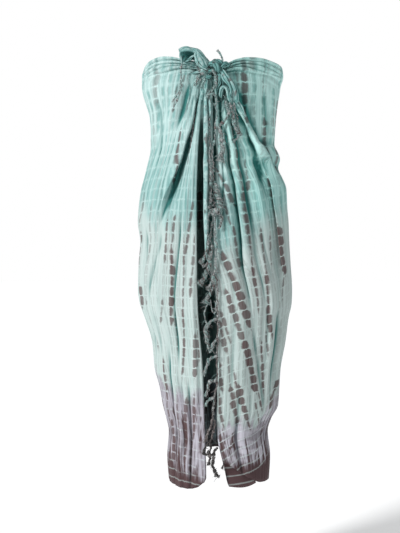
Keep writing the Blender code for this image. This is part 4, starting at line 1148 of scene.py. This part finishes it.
def ramp(value, from_low, from_high, to_low=0.0, to_high=1.0, kind="SMOOTHSTEP"):
    """The value brought from one range to another, held at the ends."""
    ends = (from_low, from_high, to_low, to_high)
    return Value(node(tree_of(value), "ShaderNodeMapRange", value, *ends, interpolation_type=kind).outputs[0])


def mixed(share, first, second, blend="MIX"):
    made = node(tree_of(share, first, second), "ShaderNodeMix", data_type="RGBA", blend_type=blend)
    for index, value in zip((0, 6, 7), (share, first, second)):
        plug(made.inputs[index], value)
    return Value(made.outputs[2])


def noise(vector, scale, detail=2.0, roughness=0.5, stretch=None, output="Fac"):
    """Seeded noise. A stretch is how much the vector counts in each direction."""
    tree = tree_of(vector)
    if stretch:
        vector = Value(plug_named(node(tree, "ShaderNodeMapping"), Vector=vector, Scale=stretch).outputs["Vector"])
    made = node(tree, "ShaderNodeTexNoise")
    plug_named(made, Vector=vector, Scale=scale, Detail=detail, Roughness=roughness)
    return Value(made.outputs[output])


def lot_noise(first, second, detail):
    """Noise that depends on two numbers, such as a row's and a column's."""
    where = node(tree_of(first), "ShaderNodeCombineXYZ", first, second)
    return noise(Value(where.outputs[0]), 1.0, detail)


def parts_of(vector):
    return [Value(socket) for socket in node(tree_of(vector), "ShaderNodeSeparateXYZ", vector).outputs]


def noted(tree, name, output="Vector"):
    """What a piece's mesh notes in one of its attributes."""
    return Value(node(tree, "ShaderNodeAttribute", attribute_name=name).outputs[output])


def new_group(name, output, kind, **inputs):
    """A node group: its tree, its inputs as values and its output's socket. An input without a number is a vector."""
    tree = bpy.data.node_groups.new(name, "ShaderNodeTree")
    for input_name, default in inputs.items():
        input_kind = "NodeSocketVector" if default is None else "NodeSocketFloat"
        socket = tree.interface.new_socket(name=input_name, in_out="INPUT", socket_type=input_kind)
        if default is not None:
            socket.default_value = default
    tree.interface.new_socket(name=output, in_out="OUTPUT", socket_type=kind)
    sockets = tree.nodes.new("NodeGroupInput").outputs
    return tree, [Value(sockets[input_name]) for input_name in inputs], tree.nodes.new("NodeGroupOutput").inputs[0]


def place_group(tree, group, **values):
    return Value(plug_named(node(tree, "ShaderNodeGroup", node_tree=group), **values).outputs[0])


# %% [markdown]
# ## The bound columns
# Before it is dyed, the cloth is pleated and bound with thread. Each pleat that takes the dark dye leaves a column of
# brown blocks, with a thin undyed line where each turn of the thread lay. The columns run where the pleats ran, so on
# the worn cloth they fan out from the knot and then hang down. A column is one use of a small node group. The tables
# say where each starts and ends as seen from the front, and how wide it is.

# %% The bound columns
DYED_COLUMNS = {
    # x and drop of the start, x and drop of the end, half width, strength
    "left": (
        (-0.075, 0.155, -0.098, 0.300, 0.0065, 0.90),
        (-0.070, 0.036, -0.074, 0.070, 0.0044, 0.75),
        (-0.083, 0.056, -0.098, 0.130, 0.0042, 0.80),
        (-0.054, 0.150, -0.063, 0.262, 0.0035, 0.80),
        (-0.047, 0.330, -0.072, 0.490, 0.0048, 0.85),
        (-0.070, 0.400, -0.075, 0.780, 0.0040, 0.95),
        (-0.042, 0.405, -0.056, 0.575, 0.0050, 0.85),
        (-0.090, 0.365, -0.101, 0.450, 0.0046, 0.85),
        (-0.100, 0.430, -0.100, 0.645, 0.0072, 0.95),
        (-0.108, 0.370, -0.114, 0.490, 0.0042, 0.85),
        (-0.093, 0.590, -0.087, 0.700, 0.0034, 0.80),
        (-0.120, 0.565, -0.124, 0.630, 0.0032, 0.80),
        (-0.036, 0.595, -0.035, 0.720, 0.0040, 0.85),
        (-0.043, 0.640, -0.044, 0.760, 0.0080, 0.85),
        (-0.045, 0.785, -0.049, 0.905, 0.0066, 0.95),
        (-0.063, 0.790, -0.070, 0.975, 0.0068, 0.85),
        (-0.053, 0.885, -0.056, 0.990, 0.0080, 0.95),
        (-0.118, 0.700, -0.104, 0.880, 0.0062, 0.95),
        (-0.101, 0.850, -0.094, 0.975, 0.0090, 0.95),
        (-0.081, 0.800, -0.082, 0.960, 0.0042, 0.80),
        (-0.166, 0.300, -0.181, 0.400, 0.0050, 0.60),
        (-0.176, 0.400, -0.184, 0.500, 0.0080, 0.90),
        (-0.180, 0.530, -0.172, 0.600, 0.0100, 0.90),
        (-0.160, 0.560, -0.134, 0.700, 0.0046, 0.95),
        (-0.147, 0.330, -0.158, 0.490, 0.0028, 0.60),
        (-0.138, 0.010, -0.142, 0.110, 0.0050, 0.45),
        (-0.150, 0.100, -0.143, 0.200, 0.0040, 0.35),
    ),
    "right": (
        (0.066, -0.030, 0.072, 0.036, 0.0050, 0.70),
        (0.088, -0.030, 0.093, 0.028, 0.0055, 0.55),
        (0.053, 0.028, 0.058, 0.068, 0.0042, 0.75),
        (0.072, 0.020, 0.082, 0.165, 0.0056, 0.90),
        (0.160, 0.070, 0.153, 0.185, 0.0050, 0.80),
        (0.150, 0.190, 0.164, 0.275, 0.0050, 0.85),
        (0.146, 0.080, 0.143, 0.180, 0.0042, 0.70),
        (0.042, 0.135, 0.065, 0.310, 0.0050, 0.90),
        (0.065, 0.290, 0.086, 0.460, 0.0056, 0.95),
        (0.087, 0.450, 0.106, 0.610, 0.0046, 1.00),
        (0.077, 0.230, 0.080, 0.320, 0.0042, 0.85),
        (0.004, 0.255, 0.052, 0.355, 0.0076, 0.85),
        (0.118, 0.255, 0.157, 0.395, 0.0060, 0.95),
        (0.155, 0.380, 0.176, 0.520, 0.0100, 1.00),
        (0.126, 0.125, 0.134, 0.250, 0.0055, 0.90),
        (0.042, 0.385, 0.064, 0.510, 0.0048, 0.85),
        (0.025, 0.345, 0.040, 0.400, 0.0042, 0.90),
        (0.110, 0.395, 0.122, 0.505, 0.0050, 0.90),
        (0.121, 0.485, 0.139, 0.675, 0.0060, 1.00),
        (0.134, 0.410, 0.138, 0.495, 0.0030, 0.80),
        (0.016, 0.445, 0.091, 0.650, 0.0105, 0.95),
        (0.024, 0.535, 0.073, 0.680, 0.0085, 0.90),
        (0.068, 0.655, 0.103, 0.800, 0.0105, 1.00),
        (0.103, 0.780, 0.117, 0.840, 0.0044, 0.95),
        (0.014, 0.590, 0.042, 0.680, 0.0056, 0.85),
        (0.010, 0.610, 0.032, 0.700, 0.0070, 0.85),
        (0.005, 0.710, 0.022, 0.790, 0.0068, 0.95),
        (0.033, 0.690, 0.038, 0.780, 0.0034, 0.80),
        (0.038, 0.765, 0.058, 0.875, 0.0088, 0.95),
        (0.045, 0.730, 0.054, 0.780, 0.0042, 0.90),
        (0.056, 0.765, 0.065, 0.820, 0.0095, 0.95),
        (0.064, 0.805, 0.090, 0.885, 0.0072, 0.95),
        (0.004, 0.780, 0.026, 0.880, 0.0058, 0.90),
        (0.111, 0.660, 0.122, 0.810, 0.0052, 1.00),
        (0.124, 0.640, 0.129, 0.710, 0.0034, 0.85),
        (0.160, 0.745, 0.134, 0.840, 0.0085, 0.95),
        (0.097, 0.805, 0.113, 0.875, 0.0036, 0.90),
        (0.020, 0.868, 0.028, 0.915, 0.0042, 0.95),
        (0.048, 0.880, 0.038, 0.925, 0.0066, 0.95),
        (0.104, 0.905, 0.100, 0.950, 0.0058, 0.90),
        (0.172, 0.500, 0.166, 0.580, 0.0034, 0.85),
        (0.010, 0.885, 0.024, 0.945, 0.0110, 0.95),
    ),
}
BACK_COLUMNS = 15
PANEL_WIDTH = {"left": 0.262, "right": 0.285, "back": 0.47}
EDGE_SOFTNESS = 0.0034
COLUMN_FULLNESS = 1.1


def bound_column_group():
    """The dark dye of one column at a place on the cloth, over what other columns have left there."""
    sizes = ("Place", "Drop", "Block", "Top", "Low", "Bend", "From", "To", "Half Width", "Strength", "Under")
    tree, given, result = new_group("Bound column", "Dye", "NodeSocketFloat", **dict.fromkeys(sizes, 0.0))
    place, drop, block, top, low, bend, start, end, half_width, strength, under = given
    run = ramp(drop, start, end, kind="LINEAR")
    middle = ramp(run, 0.0, 1.0, top, low, kind="LINEAR") + bend * maths("SINE", run * math.pi)
    offset = maths("ABSOLUTE", place - middle)
    taper = ramp(maths("PINGPONG", run, 0.5), 0.0, 0.16)
    soft = EDGE_SOFTNESS / PANEL_WIDTH["right"]
    dye = ramp(half_width * taper * block - offset, -0.8 * soft, 1.2 * soft) * strength
    plug(result, dye.at_least(under))
    return tree


def columns_of(stretch):
    """Each column of a stretch as shares of its width: top, low, bend, from drop, to drop, half width, strength."""
    if stretch != "back":
        for x_top, top, x_low, low, half_width, strength in DYED_COLUMNS[stretch]:
            start, end = share_at(stretch, x_top, top), share_at(stretch, x_low, low)
            bend = share_at(stretch, (x_top + x_low) / 2, (top + low) / 2) - (start + end) / 2
            yield start, end, bend, top, low, COLUMN_FULLNESS * half_width / PANEL_WIDTH[stretch], strength
        return
    chance = np.random.default_rng(SEED)
    for i in range(BACK_COLUMNS):
        middle = (i + 0.5) / BACK_COLUMNS + chance.uniform(-0.015, 0.015)
        for top in (chance.uniform(0.06, 0.30), chance.uniform(0.48, 0.62), chance.uniform(0.76, 0.84)):
            low = top + chance.uniform(0.10, 0.24)
            lean = chance.uniform(-0.015, 0.015)
            half_width = chance.uniform(0.003, 0.009) / PANEL_WIDTH["back"]
            yield middle - lean, middle + lean, 0.0, top, low, half_width, chance.uniform(0.75, 1.0)


def chart_group(stretch):
    """All the columns of one stretch, laid over each other."""
    tree, given, result = new_group(
        f"Columns {stretch}", "Dye", "NodeSocketFloat", Place=0.0, Drop=0.0, Thread=0.0, Row=0.0)
    place, drop, thread, row = given
    uneven = ramp(lot_noise(place * 12.0, row * 1.7, 0.0), 0.30, 0.70, 0.62, 1.35)
    block = ramp(thread, 0.0, 0.50, 0.66, 1.0) * uneven
    dye = 0.0
    for top, low, bend, start, end, half_width, strength in columns_of(stretch):
        dye = place_group(
            tree, bound_column, Place=place, Drop=drop, Block=block, Top=top, Low=low, Bend=bend, From=start, To=end,
            Half_Width=half_width, Strength=strength, Under=dye,
        )
    plug(result, dye)
    return tree


bound_column = bound_column_group()
charts = {stretch: chart_group(stretch) for stretch in ("right", "back", "left")}
print("columns:", {name: len(list(columns_of(name))) for name in charts})

# %% [markdown]
# ## The dyed cloth
# The ground colour changes down the cloth, from teal through a pale mint to lavender grey and a dark brown hem. Each
# boundary wanders as the dye crept up the pleats. Fainter columns of a deeper teal, thin light thread lines and fine
# upright streaks lie over it. The weave and the small crinkles that the binding leaves are bump, below mesh size.

# %% Dye colours
DYES = {
    "light teal": (0.485, 0.645, 0.630, 1),
    "teal": (0.250, 0.440, 0.425, 1),
    "deep teal": (0.098, 0.258, 0.245, 1),
    "pale": (0.462, 0.548, 0.532, 1),
    "pale shade": (0.300, 0.425, 0.400, 1),
    "grey": (0.400, 0.392, 0.440, 1),
    "grey shade": (0.145, 0.122, 0.135, 1),
    "light grey": (0.560, 0.555, 0.620, 1),
    "brown": (0.066, 0.035, 0.037, 1),
    "block": (0.086, 0.049, 0.049, 1),
    "undyed": (0.640, 0.760, 0.740, 1),
    "faint brown": (0.185, 0.185, 0.175, 1),
}
NOISES = {
    # scale, detail, roughness and how much the flat cloth's directions count, a small number for a long shape
    "creep": (40.0, 3.0, 0.5, (1.0, 0.30, 1.0)),
    "streak": (210.0, 3.0, 0.6, (1.0, 0.055, 1.0)),
    "cross bands": (48.0, 1.5, 0.5, (0.14, 1.0, 1.0)),
    "wick": (62.0, 3.0, 0.6, (1.0, 0.16, 1.0)),
    "long creases": (120.0, 3.0, 0.6, (1.0, 0.14, 1.0)),
    "creases": (46.0, 3.0, 0.55, (1.0, 0.5, 1.0)),
}
CREEP = 0.13
BLOT_PITCH = 0.034
DASH_PITCH = 0.029


def dye_group():
    """The cloth's colour from its notes: bands, faint columns, streaks, blocks and thread lines."""
    tree, given, result = new_group(
        "Dyed cloth", "Color", "NodeSocketColor",
        Chart=None, Bands=None, Flat=None, Blocks=0.0, Thread=0.0, Depth=1.0,
    )
    chart, bands, flat, blocks, thread, depth = given
    below_teal, below_pale, below_grey = parts_of(bands)
    place, _, rows = parts_of(chart)
    creep = (noise(flat, *NOISES["creep"]) - 0.5) * CREEP
    streak = noise(flat, *NOISES["streak"])

    # how far each place is past the end of each band
    past_teal = ramp(below_teal + creep, -0.040, 0.050)
    past_pale = ramp(below_pale + creep * 0.9, -0.020, 0.022)
    past_grey = ramp(below_grey + creep * 0.7, -0.014, 0.020)
    soaked = ramp(below_teal, -0.22, -0.05)
    grey_zone = below_pale - below_grey
    short_zone = ramp(grey_zone, 0.150, 0.095)

    # which thread lines show
    thread_shows = ramp(lot_noise(place * 11.0, maths("ROUND", rows) * 3.7, 2.0), 0.46, 0.66)
    thread_shows = thread_shows.at_least(past_grey * 0.85).at_least(short_zone * past_pale * 0.95)

    # the faint columns of deeper teal, the streaks and the thin dashes
    column = place + creep * 0.25
    blot = 1.0 - ramp(maths("PINGPONG", column, BLOT_PITCH), 0.05 * BLOT_PITCH, 0.75 * BLOT_PITCH)
    blot = blot * ramp(thread, 0.05, 0.60, 0.35, 1.0)
    in_cells = soaked * ramp(blot, 0.05, 0.80, 0.60, 1.10)
    lot = maths("ROUND", place / (2 * BLOT_PITCH)) * 2.3
    blot = blot * ramp(lot_noise(lot, rows * 0.45, 1.0), 0.34, 0.58, 0.20, 1.15)
    streaks = ramp(streak, 0.42, 0.68)
    thin = maths("PINGPONG", column + creep * 0.12, DASH_PITCH)
    dash = (1.0 - ramp(thin, 0.02 * DASH_PITCH, 0.26 * DASH_PITCH)) * ramp(thread, 0.04, 0.50)
    lot = maths("ROUND", column / (2 * DASH_PITCH)) * 1.9
    dash = dash * ramp(lot_noise(lot, rows * 0.22, 2.0), 0.52, 0.62)

    # the ground colours, from the top edge to the hem
    teal = mixed(blot.at_least(in_cells), DYES["light teal"], DYES["teal"])
    teal = mixed(streaks * ramp(soaked, 0, 1, 0.40, 0.65), teal, DYES["deep teal"])
    pale = mixed((blot * 0.06).at_least(streaks * 0.72) * 0.70, DYES["pale"], DYES["pale shade"])
    grey = mixed(streaks, DYES["grey"], DYES["grey shade"])
    ground = mixed(past_teal, teal, pale)
    ground = mixed(dash * 0.42, ground, DYES["faint brown"])
    ground = mixed(past_pale, ground, grey)
    ground = mixed(past_grey, ground, DYES["brown"])

    # the light bands across the short grey band, and the brown that wicked up from the hem
    cross_bands = ramp(noise(flat, *NOISES["cross bands"]), 0.44, 0.56, 0.10, 0.80) * short_zone
    ground = mixed(cross_bands * (past_pale * (1.0 - past_grey)), ground, DYES["light grey"])
    wick = noise(flat, *NOISES["wick"]) + (below_pale / grey_zone - 1.0) * 0.15
    ground = mixed(ramp(wick, 0.445, 0.545) * past_pale, ground, DYES["brown"])

    # the thread lines, and the blocks over them
    line = 1.0 - ramp(thread, 0.0, 0.28)
    strength = (ramp(past_teal, 0.0, 1.0, 0.18, 0.05) + past_pale * 0.30) * thread_shows + blocks * 0.22
    ground = mixed(line * strength, ground, DYES["undyed"])
    blocks = blocks * ramp(streak, 0.30, 0.62, 1.0, 0.86) * ramp(thread, 0.02, 0.17)
    dyed = mixed(blocks, ground, mixed(past_grey, DYES["block"], DYES["brown"]))
    # Painted shade and light: the colour is scaled by the last input, below 1 on the inner face and above 1 on the
    # turned-back end.
    scaled = plug_named(node(tree, "ShaderNodeVectorMath", dyed, operation="SCALE"), Scale=depth)
    plug(result, Value(scaled.outputs[0]))
    return tree


def weave_group():
    """The height of a plain weave and of the crinkles that the binding left."""
    tree, given, result = new_group(
        "Crinkled weave", "Height", "NodeSocketFloat", Flat=None, Yarn=0.0009, Crinkle=1.0)
    flat, yarn, crinkle = given
    turns = math.pi / yarn
    across, down, _ = parts_of(flat)
    woven = maths("SINE", across * turns) * maths("SINE", down * turns) * 0.05
    creases = noise(flat, *NOISES["long creases"]) + noise(flat, *NOISES["creases"]) * 0.8
    plug(result, woven + creases * crinkle)
    return tree


dyed_cloth, crinkled_weave = dye_group(), weave_group()

# %% The cloth's materials
CLOTH_FINISH = (0.78, 0.25, 0.06)
YARN_FINISH = (0.9, 0.15, 0.05)
WHITE = (1, 1, 1, 1)
CRINKLE_HEIGHT = 0.0016
# Painted shade: the colours that creases and hollows are darkened towards, high and low on the cloth, and how
# strongly.
CREASE_SHADE = (0.0, 0.24, 0.225, 1)
LOW_CREASE_SHADE = (0.13, 0.125, 0.14, 1)
CREASE_SHADE_STRENGTH = 0.92
# Painted shade on the inner face, and painted light on the inner face of the right end's turned-back part.
INNER_SHADE_TINT = (0.75, 1.0, 0.97, 1)
TURNED_BACK_LIGHTENING = 1.25
# Painted light: how much lighter and more teal the upper right side is made.
LIGHTENED_SIDE = (1.08, 1.22, 1.19, 1)
UNEVEN_CHART = (0.030, 0.016, 0.42)


def matt(made, roughness, specular, sheen):
    """Gives a material a matt finish, and hands back its tree and its shader."""
    made.use_nodes = True
    shader = made.node_tree.nodes["Principled BSDF"]
    plug_named(shader, Roughness=roughness, Specular_IOR_Level=specular, Sheen_Weight=sheen)
    return made.node_tree, shader


def finish(shader, colour, height, strength, distance):
    """Gives a shader its colour and its bump."""
    bump = plug_named(node(shader.id_data, "ShaderNodeBump"), Strength=strength, Distance=distance, Height=height)
    plug_named(shader, Base_Color=colour, Normal=Value(bump.outputs[0]))


def shaded_in_creases(colour, dye=CREASE_SHADE):
    """Painted shade: darkens the colour in creases, hollows and round the knot, as a piece's crease attribute says."""
    return mixed(noted(tree_of(colour), "crease", "Fac") * CREASE_SHADE_STRENGTH, colour, dye, blend="MULTIPLY")


def cloth_material(name, stretch, depth):
    """Soft matt rayon, with the dye of one stretch. A depth below 1 darkens the inner face as painted shade."""
    # The inner face's darker tint is painted shade.
    tint = INNER_SHADE_TINT if depth < 1 else WHITE
    made = bpy.data.materials.new(name)
    tree, shader = matt(made, *CLOTH_FINISH)
    bands = noted(tree, "bands")
    flat = Value(node(tree, "ShaderNodeUVMap", uv_map="flat").outputs["UV"])
    uneven = vector_maths("SUBTRACT", noise(flat, 85.0, 5.0, 0.66, output="Color"), (0.5, 0.5, 0.5))
    chart = vector_maths("MULTIPLY_ADD", uneven, UNEVEN_CHART, noted(tree, "chart"))
    place, drop, rows = parts_of(chart)
    thread = maths("PINGPONG", rows, 0.5) * 2.0
    # Painted light: the inner face of the right end's turned-back part is made lighter than the dye, while the rest of
    # the inner face keeps its painted shade.
    if stretch == "right" and depth < 1:
        inner = ramp(place, -0.55, -0.40)
        depth = ramp(inner, 0.0, 1.0, TURNED_BACK_LIGHTENING, depth, kind="LINEAR")
        tint = mixed(inner, WHITE, INNER_SHADE_TINT)
    blocks = place_group(tree, charts[stretch], Place=place, Drop=drop, Thread=thread, Row=maths("FLOOR", rows))
    colour = place_group(
        tree, dyed_cloth, Chart=chart, Bands=bands, Flat=flat, Blocks=blocks, Thread=thread, Depth=depth)
    colour = mixed(1.0, colour, tint, blend="MULTIPLY")
    # Painted light: the upper part of the right side, which lies in shade, is made lighter and more teal.
    if stretch == "right":
        lightened_side = ramp(place, 0.25, 0.50) * ramp(drop, 0.45, 0.30)
        colour = mixed(lightened_side, colour, LIGHTENED_SIDE, blend="MULTIPLY")
    # Painted shade: creases and hollows are darkened towards teal higher up and towards grey lower down.
    crease_shade_colour = mixed(ramp(parts_of(bands)[1], -0.03, 0.03), CREASE_SHADE, LOW_CREASE_SHADE)
    finish(shader, shaded_in_creases(colour, crease_shade_colour), place_group(tree, crinkled_weave, Flat=flat), 0.55, CRINKLE_HEIGHT)
    return made


# Each stretch has an outside material and a darker copy for the inner face; the darkening is painted shade.
for depth, side in ((1.0, "outside"), (0.55, "shaded_inside")):
    for stretch in ("right", "back", "left"):
        wrap.data.materials.append(cloth_material(f"cloth_{stretch}_{side}", stretch, depth))

# %% [markdown]
# ## The gathered cloth and the yarns
# The knot and the tied corners are the same cloth, so they take the same dyes. Their pattern is crumpled past
# reading, so it is only mottled: light and deep teal, with brown where a dark column was folded in. The yarns are
# cotton, dyed with the cloth. Each has its own shade, a slanting twist and a matt fuzz.

# %% The gathered cloth's and the yarns' materials
def mottled_group():
    tree, given, result = new_group("Mottled dye", "Color", "NodeSocketColor", Vector=None, Darkness=0.0, Brown=0.5)
    vector, darkness, brown = given
    teal = mixed(ramp(noise(vector, 95.0, 3.0), 0.38, 0.62), DYES["light teal"], DYES["teal"])
    teal = mixed(ramp(noise(vector, 170.0, 3.0), 0.46, 0.70) * 0.45, teal, DYES["deep teal"])
    teal = mixed(darkness, teal, DYES["deep teal"])
    edge = 0.74 - brown * 0.26
    spotted = ramp(noise(vector, 90.0, 3.0, 0.6, (1.0, 1.0, 0.6)) - edge, -0.06, 0.08)
    plug(result, mixed(spotted * 0.72, teal, DYES["block"]))
    return tree


mottled = mottled_group()


def gathered_material(piece, name, darkness, brown, depth=1.0):
    made = bpy.data.materials.new(name)
    tree, shader = matt(made, *CLOTH_FINISH)
    place = Value(node(tree, "ShaderNodeTexCoord").outputs["Object"])
    colour = place_group(tree, mottled, Vector=place, Darkness=darkness, Brown=brown)
    # A depth below 1 darkens the colour as painted shade, for the inner cloth laid in the hollows.
    colour = mixed(1.0, colour, (depth, depth, depth, 1), blend="MULTIPLY")
    finish(shader, shaded_in_creases(colour), noise(place, 200.0), 0.4, 0.0018)
    piece.data.materials.append(made)


def yarn_material(made, dark, light):
    tree, shader = matt(made, *YARN_FINISH)
    place = Value(node(tree, "ShaderNodeTexCoord").outputs["Object"])
    fibres = noise(place, 900.0, 2.0, 0.6, (1.0, 1.0, 0.55))
    shade = fibres * 0.35 + noise(place, 300.0, 2.0, 0.6) * 0.65
    finish(shader, mixed(ramp(shade, 0.34, 0.66), dark, light), fibres, 0.7, 0.0006)


# The knot's inner band and the lower corner's backing take darkened inner cloth, as painted shade.
gathered_material(knot, "knot_cloth", 0.88, 0.62)
gathered_material(knot, "knot_side_cloth", 0.30, 0.35)
gathered_material(knot, "knot_shaded_inner_cloth", 1.0, 0.60, depth=0.32)
gathered_material(upper_corner, "corner_upper_cloth", 0.40, 0.42)
gathered_material(lower_corner, "corner_lower_cloth", 0.45, 0.50)
gathered_material(lower_corner, "corner_shaded_inner_cloth", 1.0, 0.50, depth=0.26)
for cords in (right_fringe, left_fringe, upper_tassel, knot_tassel, lower_tassel, loose_end):
    for made, (dark, light) in zip(cords.data.materials, YARN_COLOURS.values()):
        yarn_material(made, dark, light)
gathered_material(right_fringe, "fringe_heading", 0.15, 0.60)

# %% [markdown]
# ## Floor and light
# A pale floor lies as far below the knot as a wearer's feet would. One large soft light stands to the left of the
# camera and a weaker one to the right, as in a plain studio.

# %% Floor and light
FLOOR_DROP = 1.30
FLOOR_SIZE = 80.0
FLOOR_COLOUR = (0.9, 0.9, 0.9, 1)
FLOOR_FINISH = (0.9, 0.5, 0.0)
FLOOR_GLOW = 0.42
SKY_COLOUR = (0.94, 0.97, 1.0, 1)
AMBIENT = 0.21
BACKGROUND_BRIGHTNESS = 1.0

floor_shape = bmesh.new()
bmesh.ops.create_grid(floor_shape, x_segments=1, y_segments=1, size=FLOOR_SIZE / 2)
bmesh.ops.translate(floor_shape, verts=floor_shape.verts, vec=(0, 0, -FLOOR_DROP))
floor = put_in_scene("floor", bpy.data.meshes.new("floor"))
floor_shape.to_mesh(floor.data)
floor_shape.free()
floor_finish = bpy.data.materials.new("pale_floor")
_, floor_shader = matt(floor_finish, *FLOOR_FINISH)
plug_named(floor_shader, Base_Color=FLOOR_COLOUR, Emission_Color=WHITE, Emission_Strength=FLOOR_GLOW)
floor.data.materials.append(floor_finish)

world = bpy.data.worlds.new("studio")
bpy.context.scene.world = world
world.use_nodes = True
sky = world.node_tree
around = plug_named(sky.nodes["Background"], Color=SKY_COLOUR, Strength=AMBIENT)
behind = plug_named(node(sky, "ShaderNodeBackground"), Color=WHITE, Strength=BACKGROUND_BRIGHTNESS)
seen = node(sky, "ShaderNodeLightPath").outputs["Is Camera Ray"]
either = node(sky, "ShaderNodeMixShader", *(Value(socket) for socket in (seen, around.outputs[0], behind.outputs[0])))
plug_named(sky.nodes["World Output"], Surface=Value(either.outputs[0]))
bpy.context.scene.view_settings.view_transform = "Standard"


def soft_light(name, towards, softness, strength):
    """A wide even light from far away, as a large panel gives. Towards is the way from the cloth to the light."""
    light = put_in_scene(name, bpy.data.lights.new(name, "SUN"))
    light.data.angle = math.radians(softness)
    light.data.energy = strength
    light.rotation_euler = Vector(towards).to_track_quat("Z", "Y").to_euler()


soft_light("key", (-1.05, -0.85, 0.75), 10, 3.1)
soft_light("fill", (0.9, -1.0, 0.15), 50, 0.35)
